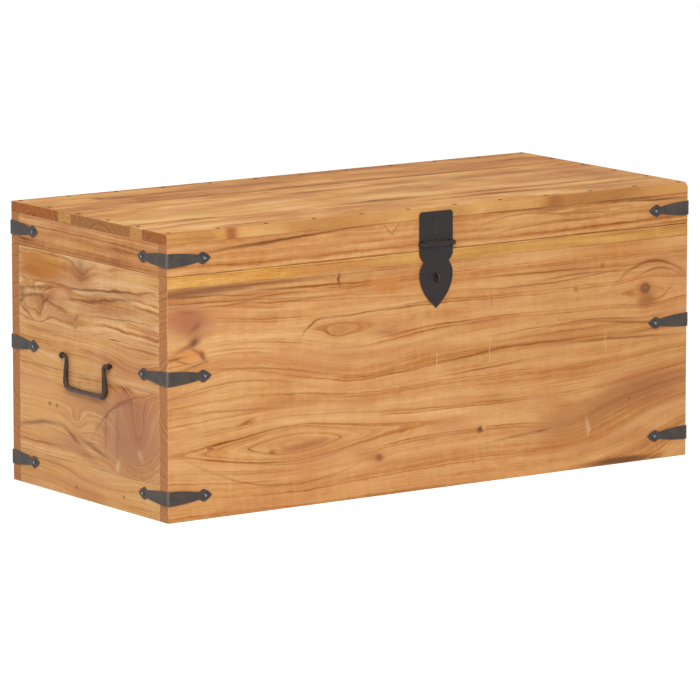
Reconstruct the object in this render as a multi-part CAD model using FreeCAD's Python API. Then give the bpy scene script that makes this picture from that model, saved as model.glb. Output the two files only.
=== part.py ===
"""A solid acacia storage chest with a hinged lid, a hasp, corner straps and two drop handles.

Frame: the origin is at the middle of the base, +X runs along the chest to its right end,
the front face looks along -Y, and +Z is up. All sizes are in millimetres.
"""

import FreeCAD, Part
import math
import os

Vec = FreeCAD.Vector

# Overall size of the closed chest
chest_length = 900.0
chest_depth = 400.0
chest_height = 400.0
lid_height = 59.6
lid_gap = 0.4

# Boards of the case
panel_thickness = 20.0
end_thickness = 20.0
rim_strip_height = 16.5
end_foot_height = 49.0
end_lower_height = 127.0
end_middle_height = 60.0

# Bottom of the case
bottom_thickness = 12.0
batten_height = 14.0
batten_width = 40.0
batten_end_inset = 60.0

# Boards of the lid, the stave widths counted from the rear
lid_board_thickness = 15.0
stave_widths = [124.0, 33.5, 150.5, 31.0]

# Softened edges
corner_arris = 1.5
rim_arris = 1.0
top_arris = 1.2

# Nails that hold the lid boards down on the rails, driven in flush
lid_nail_inset = 10.0
lid_nails_along = 12
lid_nails_across = 6
lid_nail_head_radius = 2.0
lid_nail_head_height = 0.8
lid_nail_shank_width = 1.9
lid_nail_length = 38.0
lid_nail_point = 3.0

# Gap between a nail, pin or shank and the hole that it fills
hole_clearance = 0.05

# Domed nails of the iron fittings, with forged square shanks
dome_head_radius = 4.0
dome_head_height = 2.2
dome_shank_width = 2.2
dome_nail_length = 16.0
dome_nail_point = 3.0

# Corner straps: each leg is drawn from the bend to its pointed tip
strap_thickness = 1.5
strap_inner_radius = 1.2
strap_length = 71.5
strap_bend_half_height = 10.0
strap_mid_at = 28.0
strap_mid_half_height = 8.4
strap_neck_at = 50.5
strap_neck_half_height = 5.2
strap_ear_at = 57.5
strap_ear_half_height = 8.9
strap_cheek_at = 65.5
strap_cheek_half_height = 5.2
strap_nail_at = 60.0
strap_lid_rise = 22.6
strap_bottom_height = 34.0

# Sheet, pin and rolled barrels of the hasp and the hinges
sheet_thickness = 1.8
pin_radius = 2.0
pin_head_radius = 3.0
pin_head_thickness = 1.4
barrel_side_gap = 0.4
leaf_edge_gap = 0.5

# Hasp: its pin stands a rise above the lid's lower edge, and the drops are measured from the pin
hasp_width = 57.5
hasp_pin_rise = 9.0
hasp_plate_inset = 4.8
hasp_plate_corner = 5.0
hasp_barrel_middle = 40.0
hasp_wall_gap = 0.4
hasp_shoulder_drop = 13.0
hasp_hollow_half_width = 26.4
hasp_hollow_drop = 19.6
hasp_waist_half_width = 21.2
hasp_waist_drop = 25.1
hasp_breast_half_width = 27.0
hasp_breast_drop = 34.6
hasp_belly_half_width = 28.6
hasp_belly_drop = 45.2
hasp_flank_half_width = 25.6
hasp_flank_drop = 58.7
hasp_jaw_half_width = 18.4
hasp_jaw_drop = 72.3
hasp_chin_half_width = 9.4
hasp_chin_drop = 82.5
hasp_tip_drop = 91.1
hasp_slot_drop = 47.8
hasp_slot_width = 6.4
hasp_slot_height = 13.8
hasp_nail_shares = [0.35, 0.68]
hasp_nail_head_radius = 3.0
hasp_nail_head_height = 1.0

# Staple that the hasp drops over, for a padlock
staple_wire_radius = 1.5
staple_pitch = 9.0
staple_reach = 11.0
staple_depth = 16.0

# Hinges on the rear of the chest
hinge_centre_x = 270.0
hinge_width = 60.0
hinge_leaf_height = 38.0
hinge_corner = 5.0
hinge_barrel_middle = 22.0
hinge_wall_gap = 0.3
hinge_nail_side = 20.0
hinge_nail_low = 14.0
hinge_nail_high = 29.0

# Drop handles: the bail hangs from two eyes, a rise above the middle board's lower edge
handle_rise = 23.0
handle_pivot_out = 5.6
eye_spacing = 119.4
eye_hole_radius = 2.6
eye_wire_radius = 2.2
eye_leg_split = 0.2
eye_bend_relief = 0.1
eye_clinch_length = 10.0
bail_drop = 45.2
bail_top_corner = 47.3
bail_low_corner = 51.8
bail_top_bend = 4.5
bail_low_bend = 11.0
bail_pin_radius = 2.1
bail_pin_past_eye = 2.0
bail_neck_gap = 0.6
bail_leg_top_radius = 3.2
bail_leg_low_radius = 3.7
bail_grip_radius = 4.1

# Shared overrun of every cut
overrun = 1.0

# Levels and planes worked out from the sizes above
half_length = chest_length / 2
half_depth = chest_depth / 2
case_height = chest_height - lid_height - lid_gap
lid_base = case_height + lid_gap
rail_top = chest_height - lid_board_thickness
barrel_bore_radius = pin_radius + hole_clearance
barrel_radius = barrel_bore_radius + sheet_thickness
hinge_axis_height = case_height + lid_gap / 2
hinge_axis_y = half_depth + hinge_wall_gap + barrel_radius
hasp_axis_y = -half_depth - hasp_wall_gap - barrel_radius
hasp_pin_height = lid_base + hasp_pin_rise
hasp_plate_top = chest_height - hasp_plate_inset
strap_lid_height = lid_base + strap_lid_rise
strap_middle_height = chest_height / 2
handle_pivot_x = -half_length - handle_pivot_out
handle_height = end_foot_height + end_lower_height + handle_rise
eye_y = eye_spacing / 2


def block(x_span, y_span, z_span):
    """A rectangular block between the low and high ends of its three spans."""
    corner = Vec(x_span[0], y_span[0], z_span[0])
    return Part.makeBox(x_span[1] - x_span[0], y_span[1] - y_span[0], z_span[1] - z_span[0], corner)


def rod(radius, start, end):
    """A round bar between two points."""
    run = end - start
    return Part.makeCylinder(radius, run.Length, start, run)


def cut_all(shape, tools):
    """The shape with every tool taken away."""
    for tool in tools:
        shape = shape.cut(tool)
    return shape


def fuse_all(shapes):
    """One solid made of touching or overlapping shapes."""
    whole = shapes[0].multiFuse(shapes[1:])
    return whole.removeSplitter()


def flip_x(shape):
    """The same piece on the other end of the chest."""
    return shape.mirror(Vec(0, 0, 0), Vec(1, 0, 0))


def flip_y(shape):
    """The same piece on the other long side of the chest."""
    return shape.mirror(Vec(0, 0, 0), Vec(0, 1, 0))


def save(name, shapes):
    """Write one sub-part, as one solid or as a group of separate solids."""
    solids = [solid for shape in shapes for solid in shape.Solids]
    whole = solids[0] if len(solids) == 1 else Part.makeCompound(solids)
    if not whole.isValid():
        print("not valid:", name)
    whole.exportStep(os.path.join("parts", name + ".step"))


def edges_along(shape, axis):
    """The straight edges of a shape that run along an axis."""
    found = []
    for edge in shape.Edges:
        ends = edge.Vertexes
        run = (ends[-1].Point - ends[0].Point).normalize()
        if abs(run.dot(axis)) > math.cos(math.radians(1)):
            found.append(edge)
    return found


def edges_at_height(shape, height):
    """The edges of a shape that lie wholly at one height."""
    near = rim_arris / 10
    return [edge for edge in shape.Edges
            if abs(edge.BoundBox.ZMin - height) < near and abs(edge.BoundBox.ZMax - height) < near]


def softened_block(z_span, low_arris, high_arris):
    """The full outline of the chest between two heights, with its outer edges softened."""
    outline = block((-half_length, half_length), (-half_depth, half_depth), z_span)
    outline = outline.makeFillet(corner_arris, edges_along(outline, Vec(0, 0, 1)))
    outline = outline.makeFillet(low_arris, edges_at_height(outline, z_span[0]))
    return outline.makeFillet(high_arris, edges_at_height(outline, z_span[1]))


def revolved(points_and_arcs, axis_point, axis, angle=360.0):
    """A solid turned from a closed outline of edges."""
    face = Part.Face(Part.Wire(points_and_arcs))
    return face.revolve(axis_point, axis, angle)


def line(start, end):
    """A straight edge."""
    return Part.LineSegment(start, end).toShape()


def arc(start, middle, end):
    """A round edge through three points."""
    return Part.Arc(start, middle, end).toShape()


def square_bar(width, low, high):
    """A square bar about the Z axis between two heights."""
    half = width / 2
    return block((-half, half), (-half, half), (low, high))


def pointed_shank(width, length, point):
    """A nail's square shank, pointing down from the origin."""
    shaft = square_bar(width, point - length, 0)
    end = min(shaft.Faces, key=lambda face: face.CenterOfMass.z)
    tip = Part.makeLoft([end.OuterWire, Part.Vertex(0, 0, -length)], True, True)
    return shaft.fuse(tip)


def domed_nail(head_radius, head_height):
    """A nail with a rounded head, standing on the origin and pointing down."""
    rise = head_height / head_radius
    slope = math.atan(rise)
    ball = head_radius / math.sin(2 * slope)
    middle = Vec(ball * math.sin(slope), 0, ball * math.cos(slope) - ball + head_height)
    foot = Vec(head_radius, 0, 0)
    crown = Vec(0, 0, head_height)
    outline = [line(Vec(0, 0, 0), foot), arc(foot, middle, crown), line(crown, Vec(0, 0, 0))]
    head = revolved(outline, Vec(0, 0, 0), Vec(0, 0, 1))
    shank = pointed_shank(dome_shank_width, dome_nail_length, dome_nail_point)
    return fuse_all([head, shank])


def flat_nail():
    """A lid nail, pointing down, with the top of its small flat head at the origin."""
    head = rod(lid_nail_head_radius, Vec(0, 0, 0), Vec(0, 0, -lid_nail_head_height))
    shank = pointed_shank(lid_nail_shank_width, lid_nail_length, lid_nail_point)
    return fuse_all([head, shank])


def placed(shape, point, outward):
    """A nail moved to a point, with its head looking outward."""
    moved = shape.copy()
    moved.Placement = FreeCAD.Placement(point, FreeCAD.Rotation(Vec(0, 0, 1), outward))
    return moved


def nail_hole(width, length, point, outward):
    """The square hole that a driven nail leaves, from a little above its face past its point."""
    hole = square_bar(width + 2 * hole_clearance, -length - hole_clearance, overrun)
    return placed(hole, point, outward)


# Places of the nails


def lid_nail_points():
    """Where the nails stand, in one ring round the top of the lid."""
    reach_x = half_length - lid_nail_inset
    reach_y = half_depth - lid_nail_inset
    points = []
    for i in range(lid_nails_along):
        x = -reach_x + 2 * reach_x * i / (lid_nails_along - 1)
        points.append(Vec(x, -reach_y, chest_height))
        points.append(Vec(x, reach_y, chest_height))
    for j in range(1, lid_nails_across - 1):
        y = -reach_y + 2 * reach_y * j / (lid_nails_across - 1)
        points.append(Vec(-reach_x, y, chest_height))
        points.append(Vec(reach_x, y, chest_height))
    return points


def strap_nail_seats(height):
    """The points and directions of the eight nails of the four straps at one height."""
    seats = []
    for x_side in (-1, 1):
        for y_side in (-1, 1):
            front_x = x_side * (half_length - strap_nail_at)
            end_y = y_side * (half_depth - strap_nail_at)
            face_y = y_side * (half_depth + strap_thickness)
            face_x = x_side * (half_length + strap_thickness)
            seats.append((Vec(front_x, face_y, height), Vec(0, y_side, 0)))
            seats.append((Vec(face_x, end_y, height), Vec(x_side, 0, 0)))
    return seats


def hinge_nail_seats(direction):
    """The nails of both hinge leaves above (1) or below (-1) the hinge pins."""
    seats = []
    face_y = half_depth + sheet_thickness
    for centre in (-hinge_centre_x, hinge_centre_x):
        for shift, rise in ((-hinge_nail_side, hinge_nail_low),
                            (hinge_nail_side, hinge_nail_low),
                            (0, hinge_nail_high)):
            height = hinge_axis_height + direction * rise
            seats.append((Vec(centre + shift, face_y, height), Vec(0, 1, 0)))
    return seats


def hasp_nail_seats():
    """The two nails of the hasp's upper plate."""
    face_y = -half_depth - sheet_thickness
    plate_height = hasp_plate_top - hasp_pin_height
    return [(Vec(0, face_y, hasp_pin_height + share * plate_height), Vec(0, -1, 0))
            for share in hasp_nail_shares]


def seat_holes(seats):
    """The holes of a list of domed nails."""
    return [nail_hole(dome_shank_width, dome_nail_length, point, outward)
            for point, outward in seats]


# Wooden parts of the case


def drilled(board, holes):
    """A board with the holes that reach it."""
    reach = board.BoundBox
    return cut_all(board, [hole for hole in holes if reach.intersect(hole.BoundBox)])


def case_holes():
    """Every nail and shank hole in the case."""
    holes = seat_holes(strap_nail_seats(strap_middle_height))
    holes += seat_holes(strap_nail_seats(strap_bottom_height))
    holes += seat_holes(hinge_nail_seats(-1))
    return holes + staple_holes() + eye_holes()


def make_case_panels(outline, holes):
    """The front and rear panels, each under its narrow rim strip."""
    strip_base = case_height - rim_strip_height
    for name, side in (("front", -1), ("rear", 1)):
        inner = half_depth - panel_thickness
        y_span = sorted((side * inner, side * half_depth))
        full = (-half_length, half_length)
        panel = outline.common(block(full, y_span, (0, strip_base)))
        strip = outline.common(block(full, y_span, (strip_base, case_height)))
        save(name + "_panel", [drilled(panel, holes)])
        save(name + "_rim_strip", [drilled(strip, holes)])


def end_board_levels():
    """The names and height spans of the boards of one end, from the foot up."""
    foot_top = end_foot_height
    lower_top = foot_top + end_lower_height
    middle_top = lower_top + end_middle_height
    return [("foot_board", 0, foot_top),
            ("lower_board", foot_top, lower_top),
            ("middle_board", lower_top, middle_top),
            ("top_board", middle_top, case_height)]


def make_case_ends(outline, holes):
    """The boards of both ends, which stand between the front and rear panels."""
    inner_y = half_depth - panel_thickness
    inner_x = half_length - end_thickness
    for name, side in (("left", -1), ("right", 1)):
        x_span = sorted((side * inner_x, side * half_length))
        for board, low, high in end_board_levels():
            shape = outline.common(block(x_span, (-inner_y, inner_y), (low, high)))
            save(name + "_end_" + board, [drilled(shape, holes)])


def make_case_bottom():
    """The bottom board and the three battens that carry it."""
    inner_y = half_depth - panel_thickness
    inner_x = half_length - end_thickness
    board_z = (batten_height, batten_height + bottom_thickness)
    save("bottom_board", [block((-inner_x, inner_x), (-inner_y, inner_y), board_z)])
    outer = inner_x - batten_end_inset - batten_width / 2
    for name, x in (("left", -outer), ("centre", 0), ("right", outer)):
        x_span = (x - batten_width / 2, x + batten_width / 2)
        save("bottom_batten_" + name, [block(x_span, (-inner_y, inner_y), (0, batten_height))])


# Wooden parts of the lid


def lid_holes():
    """Every nail hole in the lid."""
    holes = seat_holes(strap_nail_seats(strap_lid_height))
    holes += seat_holes(hinge_nail_seats(1))
    holes += seat_holes(hasp_nail_seats())
    up = Vec(0, 0, 1)
    for point in lid_nail_points():
        holes.append(nail_hole(lid_nail_shank_width, lid_nail_length, point, up))
        holes.append(rod(lid_nail_head_radius + hole_clearance, point + up * overrun,
                         point - up * lid_nail_head_height))
    return holes


def make_lid_boards(outline, holes):
    """The five staves that are glued edge to edge, from the rear to the front."""
    y_high = half_depth
    lows = []
    for width in stave_widths:
        y_high -= width
        lows.append(y_high)
    lows.append(-half_depth)
    y_high = half_depth
    for number, y_low in enumerate(lows, 1):
        span = (-half_length, half_length)
        stave = outline.common(block(span, (y_low, y_high), (rail_top, chest_height)))
        save("lid_stave_%d" % number, [drilled(stave, holes)])
        y_high = y_low


def make_lid_rails(outline, holes):
    """The four rails under the edge of the lid, the long ones lapping the short ones."""
    inner_y = half_depth - panel_thickness
    inner_x = half_length - end_thickness
    z_span = (lid_base, rail_top)
    for name, side in (("front", -1), ("rear", 1)):
        y_span = sorted((side * inner_y, side * half_depth))
        rail = outline.common(block((-half_length, half_length), y_span, z_span))
        save("lid_%s_rail" % name, [drilled(rail, holes)])
    for name, side in (("left", -1), ("right", 1)):
        x_span = sorted((side * inner_x, side * half_length))
        rail = outline.common(block(x_span, (-inner_y, inner_y), z_span))
        save("lid_%s_rail" % name, [drilled(rail, holes)])


def make_nails():
    """The groups of nails, each group one sub-part."""
    flat = flat_nail()
    save("lid_nails", [placed(flat, point, Vec(0, 0, 1)) for point in lid_nail_points()])
    dome = domed_nail(dome_head_radius, dome_head_height)
    case_seats = strap_nail_seats(strap_middle_height) + strap_nail_seats(strap_bottom_height)
    save("strap_nails_case", [placed(dome, *seat) for seat in case_seats])
    save("strap_nails_lid", [placed(dome, *seat) for seat in strap_nail_seats(strap_lid_height)])
    save("hinge_nails_lid", [placed(dome, *seat) for seat in hinge_nail_seats(1)])
    save("hinge_nails_case", [placed(dome, *seat) for seat in hinge_nail_seats(-1)])
    low = domed_nail(hasp_nail_head_radius, hasp_nail_head_height)
    save("hasp_plate_nails", [placed(low, *seat) for seat in hasp_nail_seats()])


# Corner straps


def strap_leg_face(reach):
    """The flat outline of one leg: along +X from the bend, pinched at the neck, then a pointed end."""
    upper = [(reach, strap_bend_half_height),
             (strap_mid_at, strap_mid_half_height),
             (strap_neck_at, strap_neck_half_height),
             (strap_ear_at, strap_ear_half_height),
             (strap_cheek_at, strap_cheek_half_height),
             (strap_length, 0)]
    top = [Vec(x, 0, z) for x, z in upper]
    low = [Vec(x, 0, -z) for x, z in upper]
    edges = [arc(top[0], top[1], top[2]),
             line(top[2], top[3]),
             arc(top[3], top[4], top[5]),
             arc(low[5], low[4], low[3]),
             line(low[3], low[2]),
             arc(low[2], low[1], low[0]),
             line(low[0], top[0])]
    return Part.Face(Part.Wire(edges))


def corner_strap():
    """A strap bent round the front left corner, at height zero, with its two nail holes."""
    outer_radius = strap_inner_radius + strap_thickness
    face = strap_leg_face(strap_inner_radius)
    leg = face.extrude(Vec(0, -strap_thickness, 0))
    front = leg.translated(Vec(-half_length, -half_depth, 0))
    side = leg.rotated(Vec(0, 0, 0), Vec(0, 0, 1), 90)
    side = side.mirror(Vec(0, 0, 0), Vec(1, 0, 0))
    side = side.translated(Vec(-half_length, -half_depth, 0))
    heart = Vec(strap_inner_radius - half_length, strap_inner_radius - half_depth,
                -strap_bend_half_height)
    bend_height = 2 * strap_bend_half_height
    bend = Part.makeCylinder(outer_radius, bend_height, heart, Vec(0, 0, 1), 90)
    bend = bend.cut(Part.makeCylinder(strap_inner_radius, bend_height, heart, Vec(0, 0, 1)))
    bend = bend.rotated(heart, Vec(0, 0, 1), 180)
    return fuse_all([front, side, bend])


def make_straps():
    """The twelve corner straps."""
    strap = corner_strap()
    for level, height in (("lid", strap_lid_height),
                          ("middle", strap_middle_height),
                          ("bottom", strap_bottom_height)):
        holes = seat_holes(strap_nail_seats(height))
        at_height = strap.translated(Vec(0, 0, height))
        mirrored = flip_x(at_height)
        for corner, shape in (("front_left", at_height),
                              ("front_right", mirrored),
                              ("rear_left", flip_y(at_height)),
                              ("rear_right", flip_y(mirrored))):
            save("strap_%s_%s" % (level, corner), [drilled(shape, holes)])


# Rolled barrels, shared by the hasp and the hinges


def barrels(spans, axis_y, axis_z):
    """The rolled barrels of a leaf, one for each span along the pin, not yet bored."""
    return [rod(barrel_radius, Vec(low, axis_y, axis_z), Vec(high, axis_y, axis_z))
            for low, high in spans]


def outer_spans(centre, width, middle):
    """The two barrels at the ends of a pin."""
    inner = middle / 2 + barrel_side_gap
    return [(centre - width / 2, centre - inner), (centre + inner, centre + width / 2)]


def bored(shape, centre, width, axis_y, axis_z):
    """A leaf with the pin's bore cut through its barrels."""
    start = Vec(centre - width / 2 - overrun, axis_y, axis_z)
    end = Vec(centre + width / 2 + overrun, axis_y, axis_z)
    return shape.cut(rod(barrel_bore_radius, start, end))


def headed_pin(centre, width, axis_y, axis_z):
    """A pin with both of its ends hammered over outside the barrels."""
    low = centre - width / 2 - hole_clearance
    high = centre + width / 2 + hole_clearance
    shaft = rod(pin_radius, Vec(low, axis_y, axis_z), Vec(high, axis_y, axis_z))
    left = rod(pin_head_radius, Vec(low, axis_y, axis_z),
               Vec(low - pin_head_thickness, axis_y, axis_z))
    right = rod(pin_head_radius, Vec(high, axis_y, axis_z),
                Vec(high + pin_head_thickness, axis_y, axis_z))
    return fuse_all([shaft, left, right])


def rounded_plate(width, low, high, corner):
    """A flat plate in the XZ plane about X zero, with its two upper corners rounded."""
    half = width / 2
    diagonal = corner * (1 - math.sqrt(0.5))
    outline = [line(Vec(-half, 0, low), Vec(half, 0, low)),
               line(Vec(half, 0, low), Vec(half, 0, high - corner)),
               arc(Vec(half, 0, high - corner), Vec(half - diagonal, 0, high - diagonal),
                   Vec(half - corner, 0, high)),
               line(Vec(half - corner, 0, high), Vec(corner - half, 0, high)),
               arc(Vec(corner - half, 0, high), Vec(diagonal - half, 0, high - diagonal),
                   Vec(-half, 0, high - corner)),
               line(Vec(-half, 0, high - corner), Vec(-half, 0, low))]
    return Part.Face(Part.Wire(outline))


# Hasp


def hasp_plate():
    """The plate that is nailed to the lid, with the two outer barrels."""
    face = rounded_plate(hasp_width, hasp_pin_height, hasp_plate_top, hasp_plate_corner)
    plate = face.extrude(Vec(0, -sheet_thickness, 0)).translated(Vec(0, -half_depth, 0))
    half = hasp_barrel_middle / 2 + barrel_side_gap
    notch = block((-half, half), (-half_depth - sheet_thickness - overrun, -half_depth + overrun),
                  (hasp_pin_height - overrun, hasp_pin_height + barrel_radius + leaf_edge_gap))
    rolls = barrels(outer_spans(0, hasp_width, hasp_barrel_middle), hasp_axis_y, hasp_pin_height)
    shape = fuse_all([plate.cut(notch)] + rolls)
    shape = bored(shape, 0, hasp_width, hasp_axis_y, hasp_pin_height)
    return drilled(shape, seat_holes(hasp_nail_seats()))


def hasp_leaf_face():
    """The spade outline of the hasp's lower leaf, drawn below a pin at height zero."""
    tongue = hasp_barrel_middle / 2
    shoulder = hasp_width / 2
    shoulder_top = -barrel_radius - leaf_edge_gap
    right = [(tongue, 0),
             (tongue, shoulder_top),
             (shoulder, shoulder_top),
             (shoulder, -hasp_shoulder_drop),
             (hasp_hollow_half_width, -hasp_hollow_drop),
             (hasp_waist_half_width, -hasp_waist_drop),
             (hasp_breast_half_width, -hasp_breast_drop),
             (hasp_belly_half_width, -hasp_belly_drop),
             (hasp_flank_half_width, -hasp_flank_drop),
             (hasp_jaw_half_width, -hasp_jaw_drop),
             (hasp_chin_half_width, -hasp_chin_drop),
             (0, -hasp_tip_drop)]
    edges = []
    for side in (1, -1):
        p = [Vec(side * x, 0, z) for x, z in right]
        edges += [line(p[0], p[1]), line(p[1], p[2]), line(p[2], p[3]),
                  arc(p[3], p[4], p[5]), arc(p[5], p[6], p[7]),
                  arc(p[7], p[8], p[9]), arc(p[9], p[10], p[11])]
    edges.append(line(Vec(-tongue, 0, 0), Vec(tongue, 0, 0)))
    return Part.Face(Part.Wire(Part.__sortEdges__(edges)))


def hasp_leaf():
    """The swinging leaf: its middle barrel, its spade and the slot over the staple."""
    back_y = -half_depth - hasp_wall_gap
    spade = hasp_leaf_face().extrude(Vec(0, -sheet_thickness, 0))
    spade = spade.translated(Vec(0, back_y, hasp_pin_height))
    half = hasp_barrel_middle / 2
    roll = barrels([(-half, half)], hasp_axis_y, hasp_pin_height)
    shape = fuse_all([spade] + roll)
    shape = bored(shape, 0, hasp_width, hasp_axis_y, hasp_pin_height)
    middle = hasp_pin_height - hasp_slot_drop
    flat = hasp_slot_height / 2 - hasp_slot_width / 2
    y_span = (back_y - sheet_thickness - overrun, back_y + overrun)
    slot = block((-hasp_slot_width / 2, hasp_slot_width / 2), y_span, (middle - flat, middle + flat))
    ends = [rod(hasp_slot_width / 2, Vec(0, y_span[0], height), Vec(0, y_span[1], height))
            for height in (middle - flat, middle + flat)]
    return cut_all(shape, [slot] + ends)


def staple_levels():
    """The heights of the two legs of the staple."""
    middle = hasp_pin_height - hasp_slot_drop
    return (middle - staple_pitch / 2, middle + staple_pitch / 2)


def staple_holes():
    """The two blind holes that the staple is driven into."""
    inner = -half_depth + staple_depth + hole_clearance
    return [rod(staple_wire_radius + hole_clearance, Vec(0, -half_depth - overrun, height),
                Vec(0, inner, height)) for height in staple_levels()]


def staple():
    """A wire staple whose crown stands out of the front, for a padlock."""
    low, high = staple_levels()
    bend = staple_pitch / 2
    crown_y = -half_depth - staple_reach + staple_wire_radius + bend
    inner_y = -half_depth + staple_depth
    legs = [rod(staple_wire_radius, Vec(0, inner_y, height), Vec(0, crown_y, height))
            for height in (low, high)]
    ring = Part.Face(Part.Wire(Part.makeCircle(staple_wire_radius, Vec(0, crown_y, low),
                                               Vec(0, 1, 0))))
    crown = ring.revolve(Vec(0, crown_y, low + bend), Vec(1, 0, 0), -180)
    return fuse_all(legs + [crown])


def make_hasp():
    """All parts of the hasp."""
    save("hasp_plate", [hasp_plate()])
    save("hasp_pin", [headed_pin(0, hasp_width, hasp_axis_y, hasp_pin_height)])
    save("hasp_leaf", [hasp_leaf()])
    save("hasp_staple", [staple()])


# Hinges


def hinge_plate(direction):
    """The plate of one leaf, above (1) or below (-1) a pin at the origin, flat on the chest."""
    face = rounded_plate(hinge_width, 0, hinge_leaf_height, hinge_corner)
    plate = face.extrude(Vec(0, sheet_thickness, 0))
    if direction < 0:
        plate = plate.mirror(Vec(0, 0, 0), Vec(0, 0, 1))
    return plate.translated(Vec(0, half_depth, hinge_axis_height))


def hinge_clear_block(low_x, high_x, direction):
    """The room that a leaf leaves for the other leaf's barrel."""
    reach = barrel_radius + leaf_edge_gap
    z_span = sorted((hinge_axis_height - direction * overrun,
                     hinge_axis_height + direction * reach))
    y_span = (half_depth - overrun, half_depth + sheet_thickness + overrun)
    return block((low_x, high_x), y_span, z_span)


def hinge_leaf(centre, direction, spans, gaps):
    """One leaf of a hinge, with its barrels, bore and nail holes."""
    plate = hinge_plate(direction).translated(Vec(centre, 0, 0))
    room = [hinge_clear_block(low, high, direction) for low, high in gaps]
    rolls = barrels(spans, hinge_axis_y, hinge_axis_height)
    shape = fuse_all([cut_all(plate, room)] + rolls)
    shape = bored(shape, centre, hinge_width, hinge_axis_y, hinge_axis_height)
    return drilled(shape, seat_holes(hinge_nail_seats(direction)))


def make_hinges():
    """The two hinges on the rear: the lid's leaf has the middle barrel."""
    for name, centre in (("left", -hinge_centre_x), ("right", hinge_centre_x)):
        outer = outer_spans(centre, hinge_width, hinge_barrel_middle)
        half = hinge_barrel_middle / 2
        middle = [(centre - half, centre + half)]
        wide = half + barrel_side_gap
        side_gaps = [(centre - hinge_width / 2 - overrun, centre - half),
                     (centre + half, centre + hinge_width / 2 + overrun)]
        middle_gap = [(centre - wide, centre + wide)]
        upper = hinge_leaf(centre, 1, middle, side_gaps)
        lower = hinge_leaf(centre, -1, outer, middle_gap)
        save("hinge_%s_upper_leaf" % name, [upper])
        save("hinge_%s_lower_leaf" % name, [lower])
        save("hinge_%s_pin" % name, [headed_pin(centre, hinge_width, hinge_axis_y,
                                                hinge_axis_height)])


# Drop handles


def eye_holes():
    """The holes through both end boards for the shanks of the eyes."""
    radius = eye_wire_radius + eye_leg_split / 2 + hole_clearance
    holes = []
    for side in (-1, 1):
        for y in (-eye_y, eye_y):
            start = Vec(side * (half_length + overrun), y, handle_height)
            end = Vec(side * (half_length - end_thickness - overrun), y, handle_height)
            holes.append(rod(radius, start, end))
    return holes


def half_round(flat_z):
    """A half-round section across X: flat below at a height, round above."""
    low = Vec(0, -eye_wire_radius, flat_z)
    high = Vec(0, eye_wire_radius, flat_z)
    top = Vec(0, 0, flat_z + eye_wire_radius)
    return Part.Face(Part.Wire([line(low, high), arc(high, top, low)]))


def eye():
    """An eye of half-round wire about the origin: a ring, and two legs that run along +X.

    The legs pass through the end board side by side and are clinched apart on its inside.
    """
    ring = half_round(eye_hole_radius).revolve(Vec(0, 0, 0), Vec(0, 1, 0), 360)
    inside_x = handle_pivot_out + end_thickness
    start_x = eye_hole_radius + eye_leg_split
    flat_z = eye_leg_split / 2
    section = half_round(flat_z)
    leg = section.translated(Vec(start_x, 0, 0)).extrude(Vec(inside_x - start_x, 0, 0))
    bend_z = flat_z + eye_wire_radius + eye_bend_relief
    bend = section.translated(Vec(inside_x, 0, 0))
    bend = bend.revolve(Vec(inside_x, 0, bend_z), Vec(0, 1, 0), -90)
    tail_face = section.rotated(Vec(0, 0, bend_z), Vec(0, 1, 0), -90)
    tail = tail_face.translated(Vec(inside_x, 0, 0)).extrude(Vec(0, 0, eye_clinch_length))
    upper = [leg, bend, tail]
    lower = [piece.mirror(Vec(0, 0, 0), Vec(0, 0, 1)) for piece in upper]
    return fuse_all([ring] + upper + lower)


def elbow(radius, start, travel, centre, angle):
    """A bent stretch of round bar in the YZ plane."""
    section = Part.Face(Part.Wire(Part.makeCircle(radius, start, travel)))
    return section.revolve(centre, Vec(1, 0, 0), angle)


def bail_half():
    """The half of the bail on the +Y side, hanging from a pin at the origin."""
    top = Vec(0, bail_top_corner, 0)
    low = Vec(0, bail_low_corner, -bail_drop)
    down = (low - top).normalize()
    inward = Vec(0, -1, 0)
    turn = math.acos(inward.dot(down))
    top_trim = bail_top_bend * math.tan(turn / 2)
    low_trim = bail_low_bend * math.tan(turn / 2)
    neck = top - inward * top_trim
    leg_top = top + down * top_trim
    leg_low = low - down * low_trim
    grip_end = low + inward * low_trim
    eye_face = eye_y - eye_wire_radius - bail_neck_gap
    pin_start = Vec(0, eye_face, 0)
    pin_end = Vec(0, eye_y + eye_wire_radius + bail_pin_past_eye, 0)
    degrees = math.degrees(turn)
    taper = Part.makeCone(bail_leg_top_radius, bail_pin_radius, (pin_start - neck).Length,
                          neck, Vec(0, 1, 0))
    leg = Part.makeCone(bail_leg_top_radius, bail_leg_low_radius, (leg_low - leg_top).Length,
                        leg_top, down)
    top_elbow = elbow(bail_leg_top_radius, neck, inward, neck - Vec(0, 0, bail_top_bend), degrees)
    low_elbow = elbow(bail_leg_low_radius, leg_low, down,
                      grip_end + Vec(0, 0, bail_low_bend), -degrees)
    return [rod(bail_pin_radius, pin_start, pin_end), taper, top_elbow, leg, low_elbow], grip_end.y


def bail():
    """A whole bail with a swelling grip, hanging from a pin at the origin, parallel to Y."""
    half, grip_end = bail_half()
    edge = Vec(0, grip_end, -bail_drop)
    rim = Vec(0, grip_end, bail_leg_low_radius - bail_drop)
    belly = Vec(0, 0, bail_grip_radius - bail_drop)
    other_rim = Vec(0, -grip_end, bail_leg_low_radius - bail_drop)
    other_edge = Vec(0, -grip_end, -bail_drop)
    outline = [line(edge, rim), arc(rim, belly, other_rim), line(other_rim, other_edge),
               line(other_edge, edge)]
    grip = revolved(outline, Vec(0, 0, -bail_drop), Vec(0, 1, 0))
    return fuse_all([grip] + half + [flip_y(piece) for piece in half])


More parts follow.
